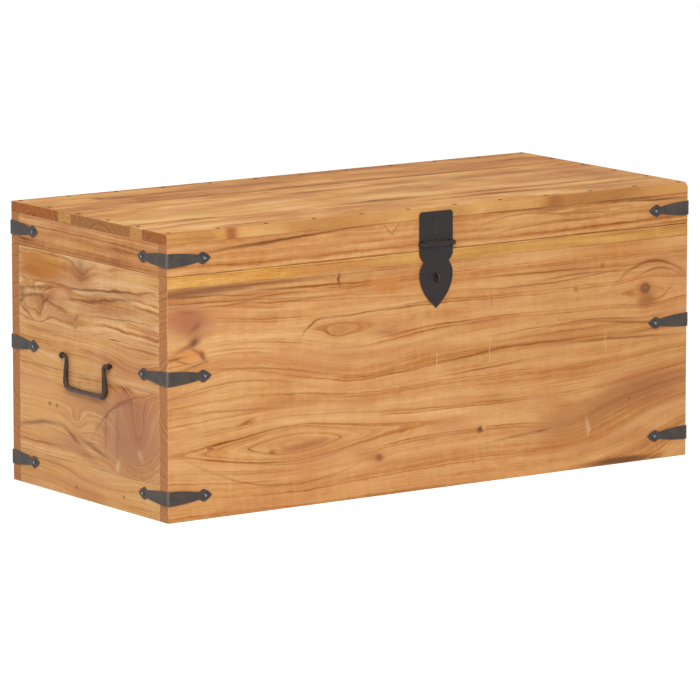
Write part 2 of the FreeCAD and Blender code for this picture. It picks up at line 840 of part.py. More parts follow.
def make_handles():
    """Both drop handles and their eyes."""
    pivot = Vec(handle_pivot_x, 0, handle_height)
    left_bail = bail().translated(pivot)
    ring = eye()
    left_eyes = [ring.translated(pivot + Vec(0, y, 0)) for y in (-eye_y, eye_y)]
    save("left_bail", [left_bail])
    save("left_handle_eyes", left_eyes)
    save("right_bail", [flip_x(left_bail)])
    save("right_handle_eyes", [flip_x(piece) for piece in left_eyes])


def main():
    """Build and write every sub-part."""
    os.makedirs("parts", exist_ok=True)
    case_outline = softened_block((0, case_height), rim_arris, rim_arris)
    in_case = case_holes()
    make_case_panels(case_outline, in_case)
    make_case_ends(case_outline, in_case)
    make_case_bottom()
    lid_outline = softened_block((lid_base, chest_height), rim_arris, top_arris)
    in_lid = lid_holes()
    make_lid_boards(lid_outline, in_lid)
    make_lid_rails(lid_outline, in_lid)
    make_nails()
    make_straps()
    make_hasp()
    make_hinges()
    make_handles()


main()
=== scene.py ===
"""The finishes and the studio of a solid acacia storage chest with blackened iron fittings.

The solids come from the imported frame. Sizes and places are in millimetres, in the frame of the
solids: +X runs along the chest to its right end, the front face looks along -Y, and +Z is up.
"""

import logging
import math
from dataclasses import dataclass
from enum import Enum

import bpy
from mathutils import Matrix, Vector


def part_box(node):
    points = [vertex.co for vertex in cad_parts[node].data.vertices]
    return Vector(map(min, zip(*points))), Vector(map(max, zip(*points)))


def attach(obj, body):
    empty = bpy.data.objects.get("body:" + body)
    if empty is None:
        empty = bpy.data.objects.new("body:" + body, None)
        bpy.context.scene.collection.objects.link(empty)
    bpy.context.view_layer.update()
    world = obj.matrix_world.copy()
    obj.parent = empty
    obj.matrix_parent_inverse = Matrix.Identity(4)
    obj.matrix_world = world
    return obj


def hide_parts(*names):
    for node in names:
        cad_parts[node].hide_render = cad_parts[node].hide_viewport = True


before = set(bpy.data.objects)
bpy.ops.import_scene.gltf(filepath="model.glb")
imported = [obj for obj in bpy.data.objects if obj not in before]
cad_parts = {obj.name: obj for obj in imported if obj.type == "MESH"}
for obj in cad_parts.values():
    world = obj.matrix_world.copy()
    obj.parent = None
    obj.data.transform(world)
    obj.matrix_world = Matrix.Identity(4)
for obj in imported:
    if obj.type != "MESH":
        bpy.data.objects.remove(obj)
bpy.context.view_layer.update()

log = logging.getLogger("chest")

Triple = tuple[float, float, float]
# Straight runs of a bar: the length of each and the radius at its end, in millimetres.
Runs = tuple[tuple[float, float], ...]

# A metre in the millimetres that all sizes here are given in.
METRE = 1000.0

# Corners of a solid's mesh this near to each other are one, in millimetres.
SAME_CORNER = 0.001
# Faces that meet at less than this angle are one flat, and edges over the sharp angle are filed,
# both in degrees.
FLAT_ANGLE = 1.0
SHARP_ANGLE = 50.0
FILED_STEPS = 2

# Half the length and depth of the case, in millimetres.
HALF_LENGTH = 450.0
HALF_DEPTH = 200.0

# How long acacia's patterns are along, across and through a board, in millimetres. The vessels
# of the real wood are 0.2 wide and too fine to show, so the fibres are drawn 0.8 wide and the
# pores of the sawn ends 1.4 wide.
FIBRES = (16.0, 0.8, 3.0)
PORES = (9.0, 1.4, 1.4)
LONG_STREAKS = (130.0, 2.2, 14.0)
WIDE_PATCHES = (120.0, 42.0, 60.0)
SMALL_PATCHES = (24.0, 11.0, 14.0)
CROSS_RIPPLE = (7.0, 46.0, 40.0)
RED_HEARTWOOD = (150.0, 34.0, 60.0)
STRONG_LATE_WOOD = (170.0, 26.0, 50.0)
LINE_STRETCHES = (230.0, 20.0, 50.0)
# The ragged band of the arrises' painted highlight and rubbed wear
RUBBED_AND_LIT_SPOTS = (30.0, 9.0, 9.0)
OPEN_JOINTS = (60.0, 12.0, 12.0)
PLANE_MARKS = (36.0, 36.0, 36.0)
CRISP_SWELLS = (10.0, 5.0, 8.0)
SHORT_SWELLS = (48.0, 13.0, 16.0)
LONG_SWELLS = (300.0, 75.0, 75.0)

# The same for iron and nails, alike in all directions. Real scale is a few tenths wide and too
# fine to show, so it is drawn 1.8 wide.
OIL_BLOOM = (16.0, 16.0, 16.0)
HAMMER_BLOWS = (11.0, 11.0, 11.0)
IRON_SCALE = (1.8, 1.8, 1.8)
NAIL_DENTS = (2.2, 2.2, 2.2)

NAIL_STAIN = "#2B1A10"
DARK_JOINT = "#7A3E16"
# The grey of the straps' bends: iron worn bare and a painted highlight
BARE_IRON_AND_HIGHLIGHT = "#8D8378"
RUSTY_EDGE = "#6B4A35"
DOME_SHADE = "#34363A"
# The pale crown of the domed nails: rubbed bright and a painted highlight
DOME_CROWN_AND_GLINT = "#8C9296"


def linear(code: str) -> tuple[float, float, float, float]:
    """Turn a colour as seen on a screen into the linear light that shaders work in.

    Args:
        code: The colour as # and six hexadecimal digits.

    Returns:
        Red, green, blue and an alpha of 1.
    """
    parts = [int(code[i:i + 2], 16) / 255 for i in (1, 3, 5)]
    light = [c / 12.92 if c <= 0.04045 else ((c + 0.055) / 1.055) ** 2.4 for c in parts]
    return (light[0], light[1], light[2], 1.0)


def feed(tree: bpy.types.NodeTree, node: bpy.types.Node, inputs: dict) -> None:
    """Set or link the inputs of one shader node.

    Args:
        tree: The material's node tree.
        node: The node.
        inputs: Values, sockets or nodes by the name or number of the input they go into. A node
            gives the first of its outputs that its settings leave in use.
    """
    for key, value in inputs.items():
        if isinstance(value, bpy.types.Node):
            value = next(output for output in value.outputs if output.enabled)
        if isinstance(value, bpy.types.NodeSocket):
            tree.links.new(value, node.inputs[key])
        else:
            node.inputs[key].default_value = value


def add(tree: bpy.types.NodeTree, kind: str, inputs: dict | None = None,
        **settings: object) -> bpy.types.Node:
    """Add one shader node.

    Args:
        tree: The material's node tree.
        kind: The node's type, without its common beginning.
        inputs: What its inputs get, as for feed.
        settings: Properties of the node itself.

    Returns:
        The new node.
    """
    node = tree.nodes.new("ShaderNode" + kind)
    for name, value in settings.items():
        setattr(node, name, value)
    feed(tree, node, inputs or {})
    return node


def clouds(tree: bpy.types.NodeTree, point: bpy.types.Node, size: Triple, seed: float,
           detail: float = 1.0) -> bpy.types.Node:
    """Soft random patches.

    Args:
        tree: The material's node tree.
        point: Where the pattern is read, in millimetres.
        size: How long a patch is along each axis, in millimetres.
        seed: Moves the pattern to another part of the random field.
        detail: How many finer layers it has.

    Returns:
        The noise node: its value and its colour are both about a half on average.
    """
    spread = add(tree, "VectorMath", {0: point, 1: tuple(1 / s for s in size),
                                      2: (seed, 2.3 * seed, 3.7 * seed)}, operation="MULTIPLY_ADD")
    return add(tree, "TexNoise", {"Vector": spread, "Scale": 1.0, "Detail": detail})


def blank_material(name: str) -> tuple[bpy.types.Material, bpy.types.NodeTree, bpy.types.Node]:
    """Start a material.

    Args:
        name: The material's name.

    Returns:
        The material, its node tree and its main shader.
    """
    material = bpy.data.materials.new(name)
    material.use_nodes = True
    return material, material.node_tree, material.node_tree.nodes["Principled BSDF"]


def dress(obj: bpy.types.Object, material: bpy.types.Material) -> None:
    """Give a whole piece one finish, and report it.

    Args:
        obj: The piece.
        material: Its finish.
    """
    obj.data.materials.clear()
    obj.data.materials.append(material)
    log.info("%s: %s", obj.name, material.name)


def file_edges(obj: bpy.types.Object, width: float, harden: bool) -> bpy.types.Modifier:
    """File the sharp edges of a piece round with a live modifier.

    Args:
        obj: The piece.
        width: How much of each edge is filed away, in millimetres.
        harden: Whether the faces beside an edge keep their flat shading.

    Returns:
        The modifier.
    """
    edge = obj.modifiers.new("filed edges", "BEVEL")
    edge.width = width / METRE
    edge.segments = FILED_STEPS
    edge.limit_method = "ANGLE"
    edge.angle_limit = math.radians(SHARP_ANGLE)
    edge.harden_normals = harden
    return edge


def ease(node: str, width: float) -> None:
    """File the sharp edges of a solid round, after its loose triangles are made whole.

    Args:
        node: The solid's name. Its own mesh stays as it is.
        width: How much of each edge is filed away, in millimetres.
    """
    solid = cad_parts[node]
    weld = solid.modifiers.new("one skin", "WELD")
    weld.merge_threshold = SAME_CORNER / METRE
    flats = solid.modifiers.new("whole flats", "DECIMATE")
    flats.decimate_type = "DISSOLVE"
    flats.angle_limit = math.radians(FLAT_ANGLE)
    file_edges(solid, width, harden=True)


class Grain(Enum):
    """The axes along a board's fibres, across its face and through its thickness."""

    LONG_WALL = "XZY"
    END_WALL = "YZX"
    FLAT = "XYZ"
    CROSSWISE = "YXZ"


@dataclass(frozen=True)
class Figure:
    """A knot, eye, swirl or stain on a board's face.

    Its place and reach are measured along and across the fibres. The rise carries the fibres
    across the face, the spread parts them, the lift closes rings around the place, and the stain
    colours it. A tilt slopes it, a bend curves it, and a power over 1 gives it a flat top.
    """

    along: float
    across: float
    reach: float
    width: float
    rise: float = 0.0
    spread: float = 0.0
    lift: float = 0.0
    stain: str = ""
    depth: float = 0.0
    tilt: float = 0.0
    bend: float = 0.0
    power: float = 1.0


@dataclass(frozen=True)
class NailRing:
    """The black stain that iron leaves in acacia around each nail of one ring of nails.

    Attributes:
        reach_along: From the lid's middle to the nails at its ends, in millimetres.
        reach_across: From the lid's middle to the nails at its front and rear, in millimetres.
        spaces_along: The spaces between the nails of a long line.
        spaces_across: The spaces between the nails of a short line.
        radius: How far a stain spreads from its nail's middle, in millimetres.
    """

    reach_along: float = 440.0
    reach_across: float = 190.0
    spaces_along: int = 11
    spaces_across: int = 5
    radius: float = 3.6

    def stain(self, tree: bpy.types.NodeTree, point: bpy.types.Node) -> bpy.types.Node:
        """Find where the stain is.

        Args:
            tree: The material's node tree.
            point: The point on the lid, in millimetres.

        Returns:
            A share that is 1 on the nails and fades out past their heads.
        """
        parts = add(tree, "SeparateXYZ", {0: point})
        reaches = (self.reach_along, self.reach_across)
        halves = (self.reach_along / self.spaces_along, self.reach_across / self.spaces_across)
        nearest = []
        for row in (0, 1):
            # Along its row a nail stands every two halves, and across it the row is one line.
            step = add(tree, "Math", {0: parts.outputs[row], 1: reaches[row]}, operation="ADD")
            step = add(tree, "Math", {0: step, 1: halves[row]}, operation="PINGPONG")
            off = add(tree, "Math", {0: parts.outputs[1 - row]}, operation="ABSOLUTE")
            off = add(tree, "Math", {0: off, 1: reaches[1 - row]}, operation="SUBTRACT")
            pair = add(tree, "CombineXYZ", {0: step, 1: off})
            nearest.append(add(tree, "VectorMath", {0: pair}, operation="LENGTH"))
        away = add(tree, "Math", {0: nearest[0], 1: nearest[1]}, operation="MINIMUM")
        return add(tree, "MapRange", {"Value": away, "From Min": 1.3 * self.radius,
                                      "From Max": 0.75 * self.radius},
                   interpolation_type="SMOOTHSTEP")


@dataclass(frozen=True)
class Acacia:
    """Acacia, planed and lacquered: growth rings cut lengthwise, with dark lines of late wood.

    The eye gets honey brown stripes that swing round the knots, a satin sheen that breaks up
    along the fibres, pale arrises, partly rubbed and partly a painted highlight, and darker sawn
    ends.

    Attributes:
        seed: Chooses another piece of wood, and each pattern adds a step of its own to it.
        stops: Tones and their colours, from late wood to pale early wood.
        end_light: The lighter colour of the sawn ends.
        end_dark: The darker colour of the sawn ends.
        figures: The knots, eyes, swirls and stains of the face.
        ring_gap: How far apart the growth rings are on the face, in millimetres.
        wave: How far long swells carry the rings across the face, in millimetres.
        heart: Where a heart line lies across a flat-sawn board, in millimetres.
        heart_gap: How far apart the heart lines are, or 0 where the face shows none.
        tone: The wood's mean tone.
        lines: How much the thin dark lines darken it.
        patches: How much wide patches vary it.
        blush: The colour of the redder heartwood.
        contrast: How strong all that varies the tone is.
        rub_and_highlight: How pale the arrises are painted, partly as rubbed wear and partly as a
        painted highlight.
        gloss: The specular level of the lacquer.
        late: How much the late wood darkens the tone.
        curl: How far short swells carry the rings across the face, in millimetres.
        streaks: How strong the rings and streaks are, apart from the late wood.
        nails: The ring of nails that stains the wood, if there is one.
    """

    seed: float
    stops: tuple[tuple[float, str], ...]
    end_light: str
    end_dark: str
    figures: tuple[Figure, ...] = ()
    ring_gap: float = 21.0
    wave: float = 26.0
    heart: float = 0.0
    heart_gap: float = 0.0
    tone: float = 0.60
    lines: float = 0.30
    patches: float = 0.5
    blush: str = "#C67F50"
    contrast: float = 1.0
    rub_and_highlight: float = 0.22
    gloss: float = 0.14
    late: float = 0.55
    curl: float = 3.2
    streaks: float = 1.0
    nails: NailRing | None = None

    def material(self, name: str, low: Vector, high: Vector, grain: Grain) -> bpy.types.Material:
        """The finish of one board.

        Args:
            name: The board's name.
            low: The board's lowest corner, in metres.
            high: The board's highest corner, in metres.
            grain: How the board was cut.

        Returns:
            The material.
        """
        material, tree, shader = blank_material("lacquered acacia, " + name)
        place = add(tree, "TexCoord")
        spot = add(tree, "VectorMath", {0: place.outputs["Object"], "Scale": METRE},
                   operation="SCALE")
        split = add(tree, "SeparateXYZ", {0: spot})
        point = add(tree, "CombineXYZ", {i: split.outputs[a] for i, a in enumerate(grain.value)})
        crisp = self._swollen(tree, point, CRISP_SWELLS, (2.6, 1.5, 0.0), self.seed + 15.0)
        near = self._swollen(tree, crisp, SHORT_SWELLS, (6.0, self.curl, 1.0), self.seed + 5.0)
        warped = self._swollen(tree, near, LONG_SWELLS, (30.0, self.wave, 6.0), self.seed)
        middle = METRE * (low["XYZ".index(grain.value[2])] + high["XYZ".index(grain.value[2])]) / 2
        field, masks = self._ring_field(tree, near, warped, middle)
        tone, fibres, line = self._tone(tree, field, warped)
        # The colour runs from late-wood brown through honey to the pale early wood, and some
        # parts of the heartwood are redder than others.
        colour = add(tree, "ValToRGB", {0: tone})
        elements = colour.color_ramp.elements
        while len(elements) < len(self.stops):
            elements.new(1.0)
        for element, (position, code) in zip(elements, self.stops):
            element.position = position
            element.color = linear(code)
        rosy = clouds(tree, warped, RED_HEARTWOOD, self.seed + 13.0, 2.0)
        rosy = add(tree, "MapRange", {"Value": rosy, "From Min": 0.46, "From Max": 0.66},
                   interpolation_type="SMOOTHSTEP")
        rosy = add(tree, "Math", {0: rosy, 1: 0.45}, operation="MULTIPLY")
        colour = add(tree, "Mix", {0: rosy, 6: colour, 7: linear(self.blush)}, data_type="RGBA")
        for figure, mask in zip(self.figures, masks):
            if figure.stain:
                share = add(tree, "Math", {0: mask, 1: figure.depth}, operation="MULTIPLY")
                colour = add(tree, "Mix", {0: share, 6: colour, 7: linear(figure.stain)},
                             data_type="RGBA")
        facing = add(tree, "SeparateXYZ", {0: place.outputs["Normal"]})
        endwise = add(tree, "Math", {0: facing.outputs[grain.value[0]]}, operation="ABSOLUTE")
        endwise = add(tree, "MapRange", {"Value": endwise, "From Min": 0.6, "From Max": 0.8},
                      interpolation_type="SMOOTHSTEP")
        sawn = self._end_grain(tree, point, low, high, grain)
        colour = add(tree, "Mix", {0: endwise, 6: colour, 7: sawn}, data_type="RGBA")
        colour = self._edges(tree, point, colour, low, high, grain)
        if self.nails:
            colour = add(tree, "Mix", {0: self.nails.stain(tree, crisp), 6: colour,
                                       7: linear(NAIL_STAIN)}, data_type="RGBA")
        feed(tree, shader, {"Base Color": colour})
        self._surface(tree, shader, warped, fibres, line)
        return material

    def _swollen(self, tree: bpy.types.NodeTree, point: bpy.types.Node, size: Triple,
                 shift: Triple, seed: float) -> bpy.types.Node:
        """The point moved about by soft swells, so that no ring is straight.

        Args:
            tree: The material's node tree.
            point: The point, in millimetres.
            size: How long a swell is along each axis.
            shift: How far it moves the point along each axis.
            seed: Chooses other swells.

        Returns:
            The moved point.
        """
        swell = add(tree, "VectorMath", {0: clouds(tree, point, size, seed).outputs["Color"],
                                         1: (0.5, 0.5, 0.5)}, operation="SUBTRACT")
        return add(tree, "VectorMath", {0: swell, 1: shift, 2: point}, operation="MULTIPLY_ADD")

    def _ring_field(self, tree: bpy.types.NodeTree, near: bpy.types.Node,
                    warped: bpy.types.Node,
                    middle: float) -> tuple[bpy.types.Node, list[bpy.types.Node]]:
        """How high each point lies in the stack of growth rings, and each figure's own area.

        Args:
            tree: The material's node tree.
            near: The point that the figures are placed by.
            warped: The point that the plain grain is placed by.
            middle: Where the middle of the board's thickness lies.

        Returns:
            The height in the stack, and one mask for each figure.
        """
        # The rings lean, so the face and the edges of a board show the same ones.
        slant = 0.55
        level = add(tree, "VectorMath", {0: warped, 1: (0.0, 1.0, slant)},
                    operation="DOT_PRODUCT")
        level = add(tree, "Math", {0: level, 1: slant * middle}, operation="SUBTRACT")
        masks = [self._mask(tree, near, figure) for figure in self.figures]
        for figure, (mask, across) in zip(self.figures, masks):
            if figure.rise or figure.spread:
                push = add(tree, "Math", {0: across, 1: -figure.spread * figure.width,
                                          2: -figure.rise}, operation="MULTIPLY_ADD")
                level = add(tree, "Math", {0: mask, 1: push, 2: level}, operation="MULTIPLY_ADD")
        if self.heart_gap:
            # A flat-sawn board shows the same rings on both sides of its heart line, and they
            # turn round over a few millimetres.
            turn = 4.0
            half = self.heart_gap / 2
            start = add(tree, "Math", {0: level, 1: half - self.heart}, operation="ADD")
            fold = add(tree, "Math", {0: start, 1: half}, operation="PINGPONG")
            away = add(tree, "Math", {0: half, 1: fold}, operation="SUBTRACT")
            square = add(tree, "Math", {0: away, 1: away, 2: turn ** 2}, operation="MULTIPLY_ADD")
            away = add(tree, "Math", {0: square}, operation="SQRT")
            level = add(tree, "Math", {0: 0.0, 1: away}, operation="SUBTRACT")
        for figure, (mask, _) in zip(self.figures, masks):
            if figure.lift:
                level = add(tree, "Math", {0: mask, 1: figure.lift, 2: level},
                            operation="MULTIPLY_ADD")
        return level, [mask for mask, _ in masks]

    def _mask(self, tree: bpy.types.NodeTree, near: bpy.types.Node,
              figure: Figure) -> tuple[bpy.types.Node, bpy.types.Node]:
        """Lay out one figure.

        Args:
            tree: The material's node tree.
            near: The point that the figures are placed by.
            figure: The figure.

        Returns:
            Its area, 1 at its middle, and how far across it a point lies.
        """
        local = add(tree, "VectorMath", {0: near, 1: (figure.along, figure.across, 0.0)},
                    operation="SUBTRACT")
        along = add(tree, "VectorMath", {0: local, 1: (1 / figure.reach, 0.0, 0.0)},
                    operation="DOT_PRODUCT")
        tilted = (-figure.tilt / figure.width, 1 / figure.width, 0.0)
        across = add(tree, "VectorMath", {0: local, 1: tilted}, operation="DOT_PRODUCT")
        square = add(tree, "Math", {0: along, 1: along}, operation="MULTIPLY")
        if figure.bend:
            curve = -figure.bend * figure.reach ** 2 / figure.width
            across = add(tree, "Math", {0: square, 1: curve, 2: across},
                         operation="MULTIPLY_ADD")
        square = add(tree, "Math", {0: across, 1: across, 2: square}, operation="MULTIPLY_ADD")
        if figure.power != 1.0:
            square = add(tree, "Math", {0: square, 1: figure.power}, operation="POWER")
        return add(tree, "Math", {0: 1 / math.e, 1: square}, operation="POWER"), across

    def _rings(self, tree: bpy.types.NodeTree, field: bpy.types.Node, gap: float,
               seed: float, detail: float) -> bpy.types.Node:
        """Rings of random width and strength.

        Args:
            tree: The material's node tree.
            field: The height in the stack of rings.
            gap: How far apart the rings are on average, in millimetres.
            seed: Chooses other rings.
            detail: How many finer layers they have.

        Returns:
            The noise node.
        """
        level = add(tree, "Math", {0: field, 1: 1 / gap, 2: seed}, operation="MULTIPLY_ADD")
        return add(tree, "TexNoise", {"W": level, "Scale": 1.0, "Detail": detail,
                                      "Roughness": 0.6}, noise_dimensions="1D")

    def _tone(self, tree: bpy.types.NodeTree, field: bpy.types.Node,
              point: bpy.types.Node) -> tuple[bpy.types.Node, bpy.types.Node, bpy.types.Node]:
        """The tone of the wood.

        Args:
            tree: The material's node tree.
            field: The height in the stack of rings.
            point: The point that the plain grain is placed by.

        Returns:
            The tone, the fibres and the dark ring lines.
        """
        parts = add(tree, "SeparateXYZ", {0: point})
        flow = add(tree, "CombineXYZ", {0: parts.outputs[0], 1: field, 2: parts.outputs[2]})
        fibres = clouds(tree, flow, FIBRES, self.seed + 3.0, 3.0)
        rings = self._rings(tree, field, self.ring_gap, self.seed, 1.0)
        fine_rings = self._rings(tree, field, self.ring_gap / 4, self.seed + 9.0, 2.0)
        # Each pattern comes with the share of the tone that it moves.
        layers = ((rings, 0.56 * self.streaks),
                  (fine_rings, 0.40 * self.streaks),
                  (clouds(tree, flow, LONG_STREAKS, self.seed + 1.0, 2.0), 0.34 * self.streaks),
                  (clouds(tree, point, WIDE_PATCHES, self.seed + 2.0, 3.0), self.patches),
                  (clouds(tree, point, SMALL_PATCHES, self.seed + 21.0, 2.0), 0.20),
                  (clouds(tree, point, CROSS_RIPPLE, self.seed + 14.0), 0.14),
                  (fibres, 0.42))
        tone = self.tone
        for pattern, share in layers:
            amount = self.contrast * share
            centred = add(tree, "Math", {0: pattern, 1: amount, 2: -amount / 2},
                          operation="MULTIPLY_ADD")
            tone = add(tree, "Math", {0: tone, 1: centred}, operation="ADD")
        late = add(tree, "Math", {0: self._late_wood(tree, field, flow), 1: self.contrast},
                   operation="MULTIPLY")
        tone = add(tree, "Math", {0: late, 1: -self.late, 2: tone}, operation="MULTIPLY_ADD")
        # A thin line runs wherever another set of rings crosses its mean.
        crossing = self._rings(tree, field, 0.9 * self.ring_gap, self.seed + 4.0, 1.0)
        crossing = add(tree, "Math", {0: crossing, 1: 0.5}, operation="SUBTRACT")
        crossing = add(tree, "Math", {0: crossing}, operation="ABSOLUTE")
        shown = clouds(tree, flow, LINE_STRETCHES, self.seed + 6.0)
        shown = add(tree, "MapRange", {"Value": shown, "From Min": 0.43, "From Max": 0.55},
                    interpolation_type="SMOOTHSTEP")
        line = add(tree, "MapRange", {"Value": crossing, "From Min": 0.024, "From Max": 0.0},
                   interpolation_type="SMOOTHSTEP")
        line = add(tree, "Math", {0: line, 1: shown}, operation="MULTIPLY")
        tone = add(tree, "Math", {0: line, 1: -self.lines, 2: tone}, operation="MULTIPLY_ADD")
        return tone, fibres, line

    def _late_wood(self, tree: bpy.types.NodeTree, field: bpy.types.Node,
                   flow: bpy.types.Node) -> bpy.types.Node:
        """How far each ring has darkened: slowly through its width, then back at its edge.

        Args:
            tree: The material's node tree.
            field: The height in the stack of rings.
            flow: The point whose second part is that height.

        Returns:
            A share from 0 to 1, with some rings strong and others faint.
        """
        uneven = self._rings(tree, field, 1.5 * self.ring_gap, self.seed + 17.0, 1.0)
        level = add(tree, "Math", {0: field, 1: 1 / self.ring_gap, 2: self.seed},
                    operation="MULTIPLY_ADD")
        level = add(tree, "Math", {0: uneven, 1: 3.2, 2: level}, operation="MULTIPLY_ADD")
        part = add(tree, "Math", {0: level}, operation="FRACT")
        number = add(tree, "Math", {0: level}, operation="FLOOR")
        strength = add(tree, "TexWhiteNoise", {"W": number}, noise_dimensions="1D")
        dark = add(tree, "Math", {0: part, 1: 3.5}, operation="POWER")
        back = add(tree, "MapRange", {"Value": part, "From Min": 1.0, "From Max": 0.93},
                   interpolation_type="SMOOTHSTEP")
        dark = add(tree, "Math", {0: dark, 1: back}, operation="MULTIPLY")
        dark = add(tree, "Math", {0: dark, 1: strength}, operation="MULTIPLY")
        come_and_go = clouds(tree, flow, STRONG_LATE_WOOD, self.seed + 18.0, 2.0)
        come_and_go = add(tree, "MapRange", {"Value": come_and_go, "From Min": 0.36,
                                             "From Max": 0.62}, interpolation_type="SMOOTHSTEP")
        return add(tree, "Math", {0: dark, 1: come_and_go}, operation="MULTIPLY")

    def _end_grain(self, tree: bpy.types.NodeTree, point: bpy.types.Node, low: Vector,
                   high: Vector, grain: Grain) -> bpy.types.Node:
        """The sawn end of the board: ring arcs about a heart below it, and open pores.

        Args:
            tree: The material's node tree.
            point: The point along, across and through the board, in millimetres.
            low: The board's lowest corner, in metres.
            high: The board's highest corner, in metres.
            grain: How the board was cut.

        Returns:
            The colour.
        """
        across, through = ("XYZ".index(axis) for axis in grain.value[1:])
        aside, below, ring_width = 9.0, 28.0, 4.6
        heart = (0.0, METRE * (low[across] + high[across]) / 2 + aside * math.sin(self.seed),
                 METRE * low[through] - below)
        flat = add(tree, "VectorMath", {0: point, 1: (0.0, 1.0, 1.0)}, operation="MULTIPLY")
        radius = add(tree, "VectorMath", {0: flat, 1: heart}, operation="DISTANCE")
        arcs = self._rings(tree, radius, ring_width, self.seed, 2.0)
        pores = clouds(tree, point, PORES, self.seed + 8.0, 2.0)
        arcs = add(tree, "Math", {0: arcs, 1: 0.32}, operation="MULTIPLY")
        tone = add(tree, "Math", {0: pores, 1: 0.68, 2: arcs}, operation="MULTIPLY_ADD")
        share = add(tree, "MapRange", {"Value": tone, "From Min": 0.62, "From Max": 0.36},
                    interpolation_type="SMOOTHSTEP")
        return add(tree, "Mix", {0: share, 6: linear(self.end_light), 7: linear(self.end_dark)},
                   data_type="RGBA")

    def _edges(self, tree: bpy.types.NodeTree, point: bpy.types.Node,
               colour: bpy.types.Node, low: Vector, high: Vector,
               grain: Grain) -> bpy.types.Node:
        """Pale arrises, rubbed and with a painted highlight, and the thin dark joint right on each
        edge.

        Args:
            tree: The material's node tree.
            point: The point along, across and through the board, in millimetres.
            colour: The colour of the wood so far.
            low: The board's lowest corner, in metres.
            high: The board's highest corner, in metres.
            grain: How the board was cut.

        Returns:
            The colour with its edges.
        """
        order = ["XYZ".index(axis) for axis in grain.value]
        middle = tuple(METRE * (low[i] + high[i]) / 2 for i in order)
        half = tuple(METRE * (high[i] - low[i]) / 2 for i in order)
        away = add(tree, "VectorMath", {0: point, 1: middle}, operation="SUBTRACT")
        away = add(tree, "VectorMath", {0: away}, operation="ABSOLUTE")
        room = add(tree, "VectorMath", {0: half, 1: away}, operation="SUBTRACT")
        a, b, c = add(tree, "SeparateXYZ", {0: room}).outputs
        # On a face one of the three is 0, so the middle one tells how far the nearest edge is.
        least = add(tree, "Math", {0: a, 1: b}, operation="MINIMUM")
        more = add(tree, "Math", {0: a, 1: b}, operation="MAXIMUM")
        more = add(tree, "Math", {0: more, 1: c}, operation="MINIMUM")
        edge = add(tree, "Math", {0: least, 1: more}, operation="MAXIMUM")
        # Painted highlight and rubbed wear: a ragged pale band along each arris.
        ragged = add(tree, "Math", {0: clouds(tree, point, RUBBED_AND_LIT_SPOTS, self.seed + 7.0),
                                    1: -3.4, 2: edge}, operation="MULTIPLY_ADD")
        rubbed_and_lit = add(tree, "MapRange", {"Value": ragged, "From Min": 0.2, "From Max": -1.6},
                     interpolation_type="SMOOTHSTEP")
        rubbed_and_lit = add(tree, "Math", {0: rubbed_and_lit, 1: self.rub_and_highlight}, operation="MULTIPLY")
        palest = linear(self.stops[-1][1])
        colour = add(tree, "Mix", {0: rubbed_and_lit, 6: colour, 7: palest}, data_type="RGBA")
        open_joint = clouds(tree, point, OPEN_JOINTS, self.seed + 8.0)
        open_joint = add(tree, "MapRange", {"Value": open_joint, "From Min": 0.35,
                                            "From Max": 0.65, "To Min": 0.15, "To Max": 0.75})
        joint = add(tree, "MapRange", {"Value": edge, "From Min": 1.0, "From Max": 0.2},
                    interpolation_type="SMOOTHSTEP")
        joint = add(tree, "Math", {0: joint, 1: open_joint}, operation="MULTIPLY")
        return add(tree, "Mix", {0: joint, 6: colour, 7: linear(DARK_JOINT)}, data_type="RGBA")

    def _surface(self, tree: bpy.types.NodeTree, shader: bpy.types.Node, point: bpy.types.Node,
                 fibres: bpy.types.Node, line: bpy.types.Node) -> None:
        """A satin lacquer over planed wood: the fibres and ring lines still show as relief.

        Args:
            tree: The material's node tree.
            shader: The material's main shader.
            point: The point that the plain grain is placed by.
            fibres: The fibres.
            line: The dark ring lines.
        """
        plane = clouds(tree, point, PLANE_MARKS, self.seed + 11.0)
        height = add(tree, "Math", {0: fibres, 1: 0.12, 2: plane}, operation="MULTIPLY_ADD")
        height = add(tree, "Math", {0: line, 1: -0.10, 2: height}, operation="MULTIPLY_ADD")
        bump = add(tree, "Bump", {"Strength": 0.5, "Distance": 0.6 / METRE, "Height": height})
        sheen = add(tree, "MapRange", {"Value": fibres, "To Min": 0.46, "To Max": 0.62})
        feed(tree, shader, {"Normal": bump, "Roughness": sheen, "Specular IOR Level": self.gloss})


class SheetWay(Enum):
    """Which way the flat faces of a sheet fitting look."""

    FRONT_AND_ENDS = "XY"
    FRONT_OR_REAR = "Y"
    NONE = ""


